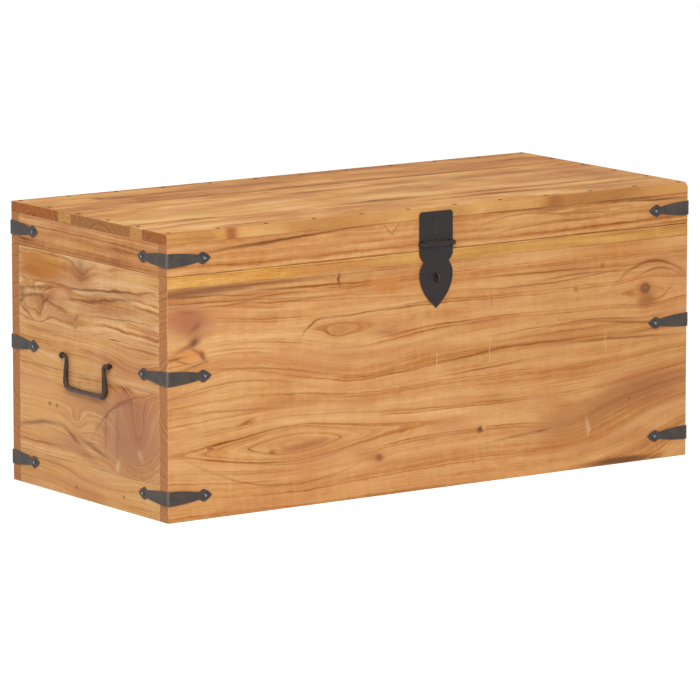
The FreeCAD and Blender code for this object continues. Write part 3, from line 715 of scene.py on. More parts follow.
@dataclass(frozen=True)
class BlackIron:
    """Wrought iron, hammered by hand and blackened in oil.

    The eye gets a dull dark grey with cooler patches and fine scale, soft dents from the hammer,
    rust-brown edges where the sheet was cut, and grey on a bend, partly iron worn bare and partly
    a painted highlight.

    Attributes:
        name: The name of the fittings.
        face: The colour of the oil black.
        bloom: The colour of its patches.
        edge: The colour of the cut edges.
        way: Which way the flat faces of the sheet look.
        edge_depth: How much the cut edges take their colour.
        barrel_at: The height of a rolled barrel's middle, in millimetres.
        barrel_reach: How far from there the round barrel isn't taken for a cut edge.
        roughness: The mean roughness.
        gloss: The specular level.
        seed: Chooses other patches and dents.
        bend_wear_and_highlight: How pale the bend over the chest's corner is painted, partly as
            iron
        worn bare and partly as a painted highlight.
    """

    name: str
    face: str
    bloom: str
    edge: str
    way: SheetWay = SheetWay.NONE
    edge_depth: float = 0.7
    barrel_at: float = 0.0
    barrel_reach: float = 0.0
    roughness: float = 0.46
    gloss: float = 0.3
    seed: float = 0.0
    bend_wear_and_highlight: float = 0.0

    def material(self) -> bpy.types.Material:
        """The finish of one kind of fitting.

        Returns:
            The material.
        """
        material, tree, shader = blank_material("blackened iron, " + self.name)
        place = add(tree, "TexCoord")
        point = add(tree, "VectorMath", {0: place.outputs["Object"], "Scale": METRE},
                    operation="SCALE")
        # The oil black is uneven: patches of a cooler bloom, and fine scale.
        patches = clouds(tree, point, OIL_BLOOM, self.seed + 1.0, 3.0)
        scale = clouds(tree, point, IRON_SCALE, self.seed + 2.0, 2.0)
        share = add(tree, "MapRange", {"Value": patches, "From Min": 0.36, "From Max": 0.66},
                    interpolation_type="SMOOTHSTEP")
        colour = add(tree, "Mix", {0: share, 6: linear(self.face), 7: linear(self.bloom)},
                     data_type="RGBA")
        if self.way is not SheetWay.NONE:
            share = self._cut_edge(tree, place, point)
            colour = add(tree, "Mix", {0: share, 6: colour, 7: linear(self.edge)},
                         data_type="RGBA")
        # Painted highlight and wear: the bend over the chest's corner is mixed towards bare grey
        # iron.
        if self.bend_wear_and_highlight:
            share = add(tree, "Math", {0: self._worn_and_lit_bend(tree, point, scale),
                                       1: self.bend_wear_and_highlight}, operation="MULTIPLY")
            colour = add(tree, "Mix", {0: share, 6: colour, 7: linear(BARE_IRON_AND_HIGHLIGHT)},
                         data_type="RGBA")
        blows = clouds(tree, point, HAMMER_BLOWS, self.seed + 3.0)
        height = add(tree, "Math", {0: scale, 1: 0.12, 2: blows}, operation="MULTIPLY_ADD")
        bump = add(tree, "Bump", {"Strength": 0.55, "Distance": 1.2 / METRE, "Height": height})
        worn = add(tree, "MapRange", {"Value": scale, "To Min": self.roughness - 0.08,
                                      "To Max": self.roughness + 0.12})
        feed(tree, shader, {"Base Color": colour, "Normal": bump, "Roughness": worn,
                            "Specular IOR Level": self.gloss})
        return material

    def _worn_and_lit_bend(self, tree: bpy.types.NodeTree, point: bpy.types.Node,
                   scale: bpy.types.Node) -> bpy.types.Node:
        """The bend over the chest's corner, painted grey as worn iron and as a painted highlight.

        Args:
            tree: The material's node tree.
            point: The point on the object, in millimetres.
            scale: The iron's scale, which makes the wear ragged.

        Returns:
            A share that is 1 on the bend.
        """
        over = add(tree, "VectorMath", {0: point}, operation="ABSOLUTE")
        over = add(tree, "VectorMath", {0: over, 1: (HALF_LENGTH, HALF_DEPTH, 0.0)},
                   operation="SUBTRACT")
        along, across, _ = add(tree, "SeparateXYZ", {0: over}).outputs
        least = add(tree, "Math", {0: along, 1: across}, operation="MINIMUM")
        least = add(tree, "Math", {0: scale, 1: 5.0, 2: least}, operation="MULTIPLY_ADD")
        return add(tree, "MapRange", {"Value": least, "From Min": -0.4, "From Max": 4.2},
                   interpolation_type="SMOOTHSTEP")

    def _cut_edge(self, tree: bpy.types.NodeTree, place: bpy.types.Node,
                  point: bpy.types.Node) -> bpy.types.Node:
        """Where the sheet was cut: all faces that don't look the way its flats do.

        Args:
            tree: The material's node tree.
            place: The texture coordinates.
            point: The point on the object, in millimetres.

        Returns:
            A share that is the edge's depth on the cut edges, and 0 on flats and barrels.
        """
        facing = add(tree, "VectorMath", {0: place.outputs["Normal"]}, operation="ABSOLUTE")
        facing = add(tree, "SeparateXYZ", {0: facing})
        flat = facing.outputs[self.way.value[0]]
        for axis in self.way.value[1:]:
            flat = add(tree, "Math", {0: flat, 1: facing.outputs[axis]}, operation="MAXIMUM")
        share = add(tree, "MapRange", {"Value": flat, "From Min": 0.85, "From Max": 0.55},
                    interpolation_type="SMOOTHSTEP")
        share = add(tree, "Math", {0: share, 1: self.edge_depth}, operation="MULTIPLY")
        if self.barrel_reach:
            height = add(tree, "SeparateXYZ", {0: point}).outputs["Z"]
            off = add(tree, "Math", {0: height, 1: self.barrel_at}, operation="SUBTRACT")
            off = add(tree, "Math", {0: off}, operation="ABSOLUTE")
            off = add(tree, "MapRange", {"Value": off, "From Min": self.barrel_reach,
                                         "From Max": self.barrel_reach + 1.0},
                      interpolation_type="SMOOTHSTEP")
            share = add(tree, "Math", {0: share, 1: off}, operation="MULTIPLY")
        return share


@dataclass(frozen=True)
class NailSteel:
    """Forged steel nails: dark dented heads whose crown is rubbed bright and a painted highlight.

    The eye gets a small pale glint on each dome, painted as well as worn, and a dark rim around
    it.

    Attributes:
        name: The name of the nails.
        shade: The colour of the rim.
        crown: The colour of the crown, rubbed bright and a painted highlight.
        way: The axes along which the heads look.
        metal: How metallic the heads are.
        gloss: The specular level.
        roughness: The roughness.
    """

    name: str
    shade: str
    crown: str
    way: str
    metal: float = 0.6
    gloss: float = 0.5
    roughness: float = 0.36

    def material(self) -> bpy.types.Material:
        """The finish of one group of nails.

        Returns:
            The material.
        """
        material, tree, shader = blank_material("nail steel, " + self.name)
        place = add(tree, "TexCoord")
        point = add(tree, "VectorMath", {0: place.outputs["Object"], "Scale": METRE},
                    operation="SCALE")
        facing = add(tree, "VectorMath", {0: place.outputs["Normal"]}, operation="ABSOLUTE")
        facing = add(tree, "SeparateXYZ", {0: facing})
        # Painted highlight and wear: faces that look straight out along the head's axis get the
        # crown's colour.
        crown = facing.outputs[self.way[0]]
        for axis in self.way[1:]:
            crown = add(tree, "Math", {0: crown, 1: facing.outputs[axis]}, operation="MAXIMUM")
        dents = clouds(tree, point, NAIL_DENTS, 4.0, 2.0)
        crown = add(tree, "Math", {0: dents, 1: -0.10, 2: crown}, operation="MULTIPLY_ADD")
        bright = add(tree, "MapRange", {"Value": crown, "From Min": 0.80, "From Max": 0.93},
                     interpolation_type="SMOOTHSTEP")
        colour = add(tree, "Mix", {0: bright, 6: linear(self.shade), 7: linear(self.crown)},
                     data_type="RGBA")
        bump = add(tree, "Bump", {"Strength": 0.5, "Distance": 0.5 / METRE, "Height": dents})
        feed(tree, shader, {"Base Color": colour, "Normal": bump, "Metallic": self.metal,
                            "Roughness": self.roughness, "Specular IOR Level": self.gloss})
        return material


# Tones of the wood and their colours, from late wood to pale early wood
HONEY = ((0.06, "#82431A"), (0.30, "#BD783A"), (0.56, "#DA9E60"), (0.80, "#EBB377"),
         (1.0, "#F6CA96"))
PALE = ((0.06, "#8A5228"), (0.30, "#C2864A"), (0.56, "#DDA364"), (0.80, "#EAB877"),
        (1.0, "#F6CC94"))
YELLOW = ((0.06, "#8A5120"), (0.30, "#BF8236"), (0.56, "#D99A4C"), (0.80, "#E7AE5E"),
          (1.0, "#F1C37C"))
AMBER = ((0.06, "#6E3C18"), (0.30, "#AB6C30"), (0.56, "#D3924C"), (0.80, "#E6AA62"),
         (1.0, "#F2C080"))
RED = ((0.06, "#66361A"), (0.30, "#9F5F33"), (0.56, "#C6854C"), (0.80, "#D89A5E"),
       (1.0, "#E9B47A"))

# The figures of each face, in millimetres along and across it, the later ones over the earlier
FRONT_FIGURES = (
    # The waves of the left half
    Figure(-345, 212, 95, 46, rise=19),
    Figure(-125, 180, 95, 50, rise=-17),
    Figure(-440, 290, 120, 40, rise=10),
    Figure(-281, 199, 100, 1.3, stain="#944F1C", depth=0.65, tilt=-0.13, bend=-0.0005),
    Figure(-60, 172, 80, 1.2, stain="#944F1C", depth=0.55, tilt=0.05, bend=0.0006),
    Figure(-330, 231, 60, 1.2, stain="#A35F2A", depth=0.45, tilt=-0.05, bend=-0.001),
    Figure(-335, 186, 90, 1.4, stain="#944F1C", depth=0.5, bend=-0.0011),
    # The eye, and the crack above it
    Figure(-158, 240, 46, 19, lift=10, stain="#BF864C", depth=0.3),
    Figure(-166, 241, 13, 7, lift=9, stain="#B87C45", depth=0.45),
    Figure(-82, 231, 24, 5, stain="#A96C3D", depth=0.6),
    Figure(-120, 263, 80, 1.3, stain="#773F14", depth=0.8, tilt=0.04),
    Figure(-70, 268, 70, 3.2, stain="#EFC08A", depth=0.5, tilt=0.05),
    Figure(-60, 214, 120, 3.0, stain="#EDBB82", depth=0.45, tilt=0.09, bend=0.0006),
    Figure(-300, 243, 70, 3.0, stain="#EDBB82", depth=0.4, tilt=0.02),
    Figure(-210, 255, 15, 1.7, stain="#773F14", depth=0.85, tilt=0.62, bend=-0.015),
    # The large oval, its lens, and the knots around it
    Figure(-240, 87, 125, 46, lift=38, power=0.7, stain="#D8A164", depth=0.3),
    Figure(-222, 85, 46, 6, lift=3, stain="#AE6A40", depth=0.65, tilt=0.1, power=1.5),
    Figure(-277, 82, 6, 3.2, stain="#8E4C2E", depth=0.7, power=1.5),
    Figure(-383, 98, 7, 3.0, lift=5, stain="#9A5A34", depth=0.75, tilt=-0.3, power=1.5),
    Figure(-319, 129, 12, 2.4, lift=4, stain="#A05E38", depth=0.7, tilt=0.2),
    Figure(-97, 55, 7, 5.4, lift=10, stain="#7E4228", depth=0.85, power=1.5),
    Figure(-106, 56, 20, 9, stain="#B8713F", depth=0.5),
    Figure(-56, 88, 6, 2.2, stain="#A05C3A", depth=0.7, power=1.5),
    Figure(-270, 34, 130, 1.4, stain="#A25C28", depth=0.6, tilt=-0.1, bend=0.0016),
    Figure(-240, 62, 90, 1.2, stain="#A87142", depth=0.5, bend=0.0014),
    Figure(-250, 113, 90, 1.2, stain="#A87142", depth=0.5, bend=-0.0013),
    Figure(-330, 145.5, 90, 1.6, stain="#9F6338", depth=0.55, tilt=-0.04),
    Figure(-60, 119, 160, 1.2, stain="#A46C3C", depth=0.5, tilt=-0.06),
    Figure(-90, 3, 140, 1.2, stain="#A25C28", depth=0.5),
    # The burl at the left edge
    Figure(-412, 274, 32, 22, stain="#A5634A", depth=0.66, power=1.2),
    Figure(-432, 284, 34, 26, stain="#B56E4C", depth=0.45),
    Figure(-404, 268, 9, 5, stain="#8A4E38", depth=0.6, tilt=0.6),
    Figure(-420, 291, 16, 4, stain="#96583E", depth=0.45, tilt=-0.2),
    Figure(-414, 231, 26, 12, lift=6, stain="#DE8C46", depth=0.6, power=1.6),
    Figure(-406, 247, 10, 6.5, lift=10, stain="#633C30", depth=0.85, tilt=0.3),
    Figure(-424, 240, 16, 3.2, stain="#8C5234", depth=0.6, tilt=0.35),
    Figure(-400, 233, 13, 2.6, stain="#8A5030", depth=0.65, tilt=-0.5),
    Figure(-391, 227, 6, 6, stain="#84492B", depth=0.7, tilt=-0.9, power=1.4),
    Figure(-438, 227, 15, 2.0, stain="#7A4428", depth=0.75, tilt=0.1),
    Figure(-424, 221, 13, 1.5, stain="#8A5230", depth=0.65, tilt=-0.3),
    Figure(-402, 216, 17, 1.6, stain="#8A5230", depth=0.65, tilt=0.22),
    # Under the rim strip
    Figure(-405, 316, 84, 7.5, stain="#804A32", depth=0.72, power=1.8),
    Figure(-300, 318.5, 110, 2.8, stain="#8A5030", depth=0.8, tilt=-0.01),
    Figure(-250, 309, 120, 1.4, stain="#8A5432", depth=0.7, tilt=-0.03),
    Figure(-390, 301, 90, 1.3, stain="#83502E", depth=0.7, tilt=-0.03),
    Figure(-392, 309.5, 50, 1.2, stain="#7E4426", depth=0.75, bend=0.0014),
    Figure(-330, 306, 46, 1.1, stain="#8A4E26", depth=0.7, tilt=-0.06, bend=0.001),
    Figure(-268, 302, 52, 1.2, stain="#8F5228", depth=0.7, tilt=0.03, bend=-0.0011),
    Figure(-212, 307, 44, 1.2, stain="#8A4E26", depth=0.7, tilt=-0.03, bend=0.001),
    Figure(-352, 294, 60, 1.0, stain="#8F5228", depth=0.65, tilt=0.02, bend=0.0007),
    Figure(-258, 290.5, 66, 1.0, stain="#96582A", depth=0.6, tilt=-0.02, bend=0.0006),
    Figure(-330, 311.5, 60, 2.0, stain="#EDBB82", depth=0.5),
    Figure(-236, 296, 70, 2.2, stain="#F0C088", depth=0.5, tilt=-0.02),
    Figure(-398, 296, 40, 2.0, stain="#E8B17E", depth=0.4),
    Figure(330, 312, 90, 9, stain="#D08A48", depth=0.5, power=1.5),
    Figure(-90, 321, 200, 2.0, stain="#A35C28", depth=0.5),
    Figure(-300, 297, 200, 1.0, stain="#A35C28", depth=0.5, tilt=-0.05),
    Figure(-180, 286, 160, 1.0, stain="#A35C28", depth=0.45, tilt=-0.05),
    Figure(-87, 301, 25, 12, stain="#D2894C", depth=0.7, power=3.0),
    Figure(-165, 314, 2.6, 9, stain="#87442E", depth=0.85, power=1.6),
    # The ringed knot at the right, and the stars near it
    Figure(380, 246, 46, 36, lift=9),
    Figure(380, 252, 38, 30, stain="#DD9858", depth=0.4),
    Figure(373, 250, 17, 15, stain="#B4713F", depth=0.65, power=1.8),
    Figure(376, 233, 19, 9, stain="#935632", depth=0.75, power=1.6),
    Figure(372, 252, 9.5, 8, stain="#5E3527", depth=0.95, power=2.4),
    Figure(371.5, 252.5, 5.6, 4.4, stain="#9A6450", depth=0.8, power=2.4),
    Figure(371, 252, 2.2, 1.8, stain="#6A4034", depth=0.8, power=2.0),
    Figure(385, 291, 56, 2.6, stain="#7C3E12", depth=0.9, bend=-0.0062),
    Figure(396, 280, 36, 1.7, stain="#8C4A12", depth=0.75, bend=-0.0075),
    Figure(404, 238, 22, 1.4, stain="#8C4A12", depth=0.6, tilt=0.5, bend=0.02),
    Figure(205, 291.5, 120, 1.3, stain="#8A4616", depth=0.8, tilt=-0.02),
    Figure(260, 284, 70, 1.1, stain="#8F4A18", depth=0.7, bend=-0.0008),
    Figure(200, 275, 130, 1.1, stain="#8F4A18", depth=0.72, tilt=0.03, bend=0.0004),
    Figure(248, 262, 4, 4, lift=5, stain="#99572F", depth=0.7, power=1.5),
    Figure(295, 291, 4, 5, lift=6, stain="#934E1B", depth=0.6, power=1.5),
    Figure(270, 216, 80, 1.5, stain="#8A4616", depth=0.75, bend=-0.001),
    Figure(345, 206, 70, 1.7, stain="#8A4616", depth=0.8, tilt=-0.1),
    Figure(160, 212, 60, 1.1, stain="#96501C", depth=0.6, tilt=0.05),
    Figure(230, 203, 60, 1.1, stain="#8F4A18", depth=0.65, tilt=0.02),
    Figure(70, 185, 70, 1.6, stain="#84420F", depth=0.85, tilt=0.1),
    Figure(190, 190.5, 90, 1.7, stain="#84420F", depth=0.8),
    Figure(330, 183.5, 100, 2.0, stain="#84420F", depth=0.8, tilt=-0.03),
    Figure(400, 192, 60, 1.4, stain="#8A4616", depth=0.7, tilt=0.06),
    Figure(90, 164, 70, 1.3, stain="#8A4616", depth=0.75, tilt=0.06),
    # Short glued joints of the board's lengths
    Figure(3, 179, 0.9, 18, stain="#F2C48E", depth=0.5, power=2.0),
    Figure(96, 189, 0.9, 22, stain="#F2C48E", depth=0.65, power=2.0),
    Figure(301, 182, 0.9, 16, stain="#F2C48E", depth=0.75, power=2.0),
    Figure(98, 262, 0.8, 16, stain="#934E1B", depth=0.5, power=2.0),
    # The lower right
    Figure(79, 76, 6, 5, lift=9, stain="#6C3A22", depth=0.95, power=1.8),
    Figure(86, 78, 3.4, 4, stain="#EDBE8A", depth=0.6, power=1.8),
    Figure(187, 63, 12, 1.8, stain="#80492A", depth=0.85, tilt=0.1),
    Figure(140, 60, 40, 1.6, stain="#94592F", depth=0.6, tilt=0.08),
    Figure(40, 181, 22, 8, stain="#A5683C", depth=0.4),
    Figure(236, 66, 66, 24, lift=12, stain="#AE6F40", depth=0.5),
    Figure(271, 61, 4, 12, stain="#EBC092", depth=0.75, tilt=-1.2, power=1.6),
    Figure(346, 94, 2.6, 2.6, stain="#7A4828", depth=0.9, power=2.0),
    Figure(370, 106, 90, 22, stain="#9C5E3C", depth=0.68, tilt=0.12, power=1.3),
    Figure(330, 138, 90, 10, stain="#EDB778", depth=0.4, tilt=0.16),
    Figure(395, 66, 60, 12, stain="#E8B27A", depth=0.5, tilt=0.3),
    Figure(290, 78, 30, 16, stain="#A3633B", depth=0.45, tilt=0.4),
    Figure(500, 60, 170, 90, rise=64),
    Figure(330, 4, 60, 6, stain="#5E3B26", depth=0.8, power=1.8),
    Figure(300, 200, 260, 130, stain="#C8854A", depth=0.22),
    # Painted shade in the hasp's slot: a near-black patch around the staple's legs, behind the
    # hasp
    Figure(0, 301.6, 9, 13, stain="#22150F", depth=0.97, power=1.6),
)

# Pale and darker streaks of the rim strip
RIM_FIGURES = (
    Figure(170, 332, 300, 16, stain="#E0AA62", depth=0.5),
    Figure(-60, 334, 70, 5, stain="#E4B268", depth=0.4, tilt=0.02),
    Figure(60, 328, 90, 4, stain="#B97C3A", depth=0.4, tilt=0.02),
    Figure(240, 327, 60, 3, stain="#B5762F", depth=0.5, tilt=-0.02),
    Figure(330, 335, 70, 2.5, stain="#A86A2C", depth=0.5),
)

# Dark lines that rise and fall along the lid's front rail, two crossed marks and an eye
LID_FRONT_FIGURES = (
    Figure(-283, 375.8, 115, 2.1, stain="#68320C", depth=0.95, tilt=0.052, power=1.5),
    Figure(-330, 371.3, 70, 1.2, stain="#884816", depth=0.7, tilt=0.05),
    Figure(-150, 383, 50, 1.4, stain="#884816", depth=0.7, tilt=0.03),
    Figure(150, 384.2, 80, 1.5, stain="#6A3612", depth=0.75, power=1.5),
    Figure(330, 384.0, 80, 1.6, stain="#743A10", depth=0.7, power=1.5),
    Figure(140, 366, 110, 16, stain="#D9A05F", depth=0.35, bend=0.0006),
    Figure(160, 378, 70, 1.4, stain="#96561F", depth=0.6, bend=-0.0016),
    Figure(200, 362, 120, 1.4, stain="#96561F", depth=0.5, tilt=0.03, bend=-0.0005),
    Figure(-330, 366, 100, 10, stain="#DDA165", depth=0.4),
    Figure(-200, 358, 90, 9, stain="#B97542", depth=0.45, tilt=0.06),
    Figure(-80, 374, 6, 1.6, stain="#8A5028", depth=0.7, tilt=-1.0),
    Figure(-70, 374, 6, 1.6, stain="#8A5028", depth=0.7, tilt=1.2),
    Figure(390, 379.5, 60, 2.0, stain="#67391C", depth=0.85, tilt=-0.03),
    Figure(203, 383, 22, 6, lift=8, stain="#A15C34", depth=0.6),
    Figure(250, 372, 60, 1.2, stain="#8E5629", depth=0.6, tilt=-0.06),
    Figure(60, 350, 200, 5, stain="#B87540", depth=0.35),
)

# An amber patch, an eye and two bold stripes, over swirls of light and dark
LEFT_TOP_FIGURES = (
    Figure(120, 317, 66, 20, stain="#C27422", depth=0.84, power=2.2),
    Figure(160, 306, 34, 8, stain="#A9602A", depth=0.5, tilt=-0.1),
    Figure(100, 330, 40, 6, stain="#DDA45A", depth=0.5),
    Figure(120, 302, 60, 5, stain="#B8722E", depth=0.5, tilt=0.03),
    Figure(18, 321, 28, 19, lift=20, power=0.9, stain="#9A5834", depth=0.72),
    Figure(-40, 329, 30, 12, lift=10, stain="#EDBB84", depth=0.6),
    Figure(-121, 328, 54, 13, stain="#EDBC7C", depth=0.75, power=1.6),
    Figure(90, 296, 100, 1.3, stain="#8C4A18", depth=0.7, tilt=-0.02),
    Figure(-100, 308, 90, 1.3, stain="#8C4A18", depth=0.65, tilt=-0.09),
    Figure(-37, 302, 84, 2.3, stain="#74390E", depth=0.82, tilt=-0.08),
    Figure(-38, 289, 88, 2.7, stain="#74390E", depth=0.85, tilt=-0.115),
    Figure(-38, 295.5, 74, 3.0, stain="#A5673C", depth=0.5, tilt=-0.1),
    Figure(-60, 276, 96, 9, stain="#A9643A", depth=0.6, tilt=-0.06),
    Figure(-10, 283, 60, 1.8, stain="#84481C", depth=0.7, tilt=-0.08),
    Figure(120, 270, 60, 16, stain="#A9663A", depth=0.5, tilt=-0.1),
    Figure(60, 252, 60, 6, stain="#B06C3C", depth=0.5, tilt=-0.04),
    Figure(-80, 266, 70, 1.4, stain="#7E4A28", depth=0.6, tilt=-0.05),
    Figure(173, 275, 10, 10, lift=30, stain="#63371F", depth=0.6, power=1.3),
    Figure(150, 262, 26, 22, lift=44, power=0.8, stain="#E0A468", depth=0.35),
    Figure(126, 254, 9, 13, lift=30, power=0.9, stain="#8A5228", depth=0.45),
    Figure(178, 258, 13, 3.2, stain="#74390E", depth=0.8, tilt=-0.8),
    Figure(160, 247, 17, 2.8, stain="#74390E", depth=0.8, tilt=0.5),
    Figure(112, 268, 10, 3.0, stain="#74390E", depth=0.8, tilt=-0.9),
    Figure(140, 284, 40, 2.2, stain="#7C4826", depth=0.7, tilt=-0.1),
    Figure(136, 279, 36, 2.6, stain="#F0C088", depth=0.6, tilt=-0.1),
    Figure(68, 278, 16, 12, lift=-16, stain="#E6AE74", depth=0.5),
    Figure(148, 273.5, 28, 2.2, stain="#85492A", depth=0.7, tilt=-0.14, bend=-0.002),
    Figure(90, 266, 38, 2.2, stain="#85492A", depth=0.7, tilt=0.27),
    Figure(32, 247, 6, 10, lift=6, stain="#97543A", depth=0.7, tilt=-1.2),
    Figure(-60, 245, 80, 5, stain="#F0BC80", depth=0.6),
    Figure(80, 242, 80, 4, stain="#E9B071", depth=0.5),
    Figure(-155, 257, 26, 14, stain="#BC744C", depth=0.55),
    Figure(-150, 282, 30, 5, stain="#EDB982", depth=0.5, tilt=-0.2),
)

# Faint ovals
LEFT_MIDDLE_FIGURES = (
    Figure(-150, 231, 50, 1.6, stain="#9A5437", depth=0.7),
    Figure(60, 184, 70, 10, lift=12, stain="#E0A868", depth=0.45),
    Figure(-120, 205, 60, 22, lift=12, stain="#C98C62", depth=0.5),
    Figure(-110, 182, 60, 3, stain="#F0BE86", depth=0.6, tilt=-0.03),
    Figure(120, 226, 60, 3, stain="#A05F3A", depth=0.5),
)

# A pale field with dark lines, and a red heart of rings with its own stripes
LEFT_LOWER_FIGURES = (
    Figure(125, 118, 80, 60, stain="#EBB273", depth=0.6, power=1.6),
    Figure(130, 93, 60, 3.0, lift=4, stain="#85553A", depth=0.75, tilt=-0.15, bend=-0.0012),
    Figure(42, 86, 26, 3.4, lift=3, stain="#85553A", depth=0.8, tilt=0.4),
    Figure(-20, 76, 40, 3.2, lift=3, stain="#85553A", depth=0.75, tilt=0.25),
    Figure(20, 68, 50, 7, stain="#B07850", depth=0.55, tilt=0.3),
    Figure(120, 66, 60, 1.4, stain="#8E5C38", depth=0.6, tilt=-0.05),
    Figure(60, 74, 60, 8, stain="#C99064", depth=0.5, tilt=0.15),
    Figure(-112, 108, 92, 60, stain="#B0765A", depth=0.8, power=1.5),
    Figure(-128, 98, 54, 60, lift=80, spread=0.2, power=0.9),
    Figure(-44, 112, 3.4, 34, stain="#946450", depth=0.45),
    Figure(-74, 100, 3.0, 38, stain="#8E5E4A", depth=0.4),
    Figure(-60, 108, 6.0, 36, stain="#CD9B7C", depth=0.45),
    Figure(-62, 140, 42, 2.6, stain="#84543E", depth=0.7, tilt=-0.6, bend=-0.006),
    Figure(32, 111, 20, 14, lift=24, stain="#B57C50", depth=0.3, power=0.8),
    Figure(101, 125, 4, 3, lift=5, stain="#7C4A30", depth=0.75, power=1.5),
    Figure(82, 124, 3, 3, stain="#7C4A30", depth=0.7, power=1.5),
    Figure(-74, 60, 5, 9, stain="#F0C8A0", depth=0.65, tilt=-0.8),
    Figure(-132, 84, 6, 6, stain="#E6B890", depth=0.6, tilt=0.6),
    Figure(-99, 157, 34, 1.8, stain="#8A5638", depth=0.6, tilt=-0.3),
)

# Two pin knots
LEFT_FOOT_FIGURES = (
    Figure(33, 15, 3, 2.4, lift=4, stain="#7E4A2E", depth=0.8, power=1.5),
    Figure(-89, 20, 3, 2.4, lift=4, stain="#7E4A2E", depth=0.8, power=1.5),
    Figure(-20, 30, 80, 14, lift=10, stain="#CF9068", depth=0.4),
)

# A knot and wide brown bands
REAR_STAVE_FIGURES = (
    Figure(-310, 140, 22, 12, lift=9, stain="#7A4322", depth=0.75),
    Figure(-337, 146, 9, 9, lift=5, stain="#6A391C", depth=0.8),
    Figure(-110, 136, 120, 26, stain="#B0683A", depth=0.6),
    Figure(-200, 110, 120, 8, stain="#9A5A2E", depth=0.5),
    Figure(150, 190, 120, 16, stain="#A5602F", depth=0.6),
    Figure(260, 130, 90, 22, lift=14, stain="#C58045", depth=0.5),
    Figure(120, 84, 160, 6, stain="#95562A", depth=0.55),
    Figure(300, 110, 130, 50, stain="#B87340", depth=0.3),
)

# Brown and pale bands, darker at the right end
MIDDLE_STAVE_FIGURES = (
    Figure(-150, 10, 60, 14, stain="#A86A36", depth=0.5),
    Figure(60, -20, 70, 10, stain="#9A5E30", depth=0.55, tilt=0.05),
    Figure(200, 22, 90, 12, stain="#8E5428", depth=0.55, tilt=-0.04),
    Figure(-300, -60, 120, 16, stain="#E9B877", depth=0.5),
    Figure(60, -70, 140, 14, stain="#EBBA7A", depth=0.45),
    Figure(393, -72, 42, 40, stain="#B8703F", depth=0.6),
    Figure(310, -30, 130, 70, stain="#B5703C", depth=0.4),
    Figure(420, 10, 60, 40, stain="#B0673B", depth=0.45),
)

# A band along the front edge whose colour changes, and knots behind it
FRONT_STAVE_FIGURES = (
    Figure(0, -201, 700, 4.5, stain="#D9A266", depth=0.45, power=2.0),
    Figure(-190, -201, 70, 4.5, stain="#B07038", depth=0.45, power=2.0),
    Figure(-390, -201, 34, 4.5, stain="#BC7C42", depth=0.4, power=2.0),
    Figure(30, -201, 34, 4.5, stain="#B5763E", depth=0.4, power=2.0),
    Figure(290, -201, 80, 4.5, stain="#9A5C2A", depth=0.5, power=2.0),
    Figure(380, -165, 90, 30, stain="#B87440", depth=0.35),
    Figure(430, -201, 55, 4.5, stain="#DDA05C", depth=0.8, power=2.0),
    Figure(-301, -177, 40, 4, stain="#8A5426", depth=0.7),
    Figure(-344, -200, 10, 9, stain="#A2522F", depth=0.75, power=1.5),
    Figure(209, -202, 18, 12, stain="#A05A30", depth=0.65),
    Figure(60, -170, 80, 12, lift=14),
    Figure(320, -165, 60, 12, lift=10, stain="#A8683A", depth=0.55),
)


@dataclass(frozen=True)
class Board:
    """One board: its solid, its finish, how it was cut and how much of its edges is filed away."""

    node: str
    finish: Acacia
    grain: Grain
    filed: float = 0.2

    def dress(self) -> None:
        """Give the board its finish."""
        low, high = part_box(self.node)
        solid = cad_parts[self.node]
        dress(solid, self.finish.material(self.node.replace("_", " "), low, high, self.grain))
        ease(self.node, self.filed)


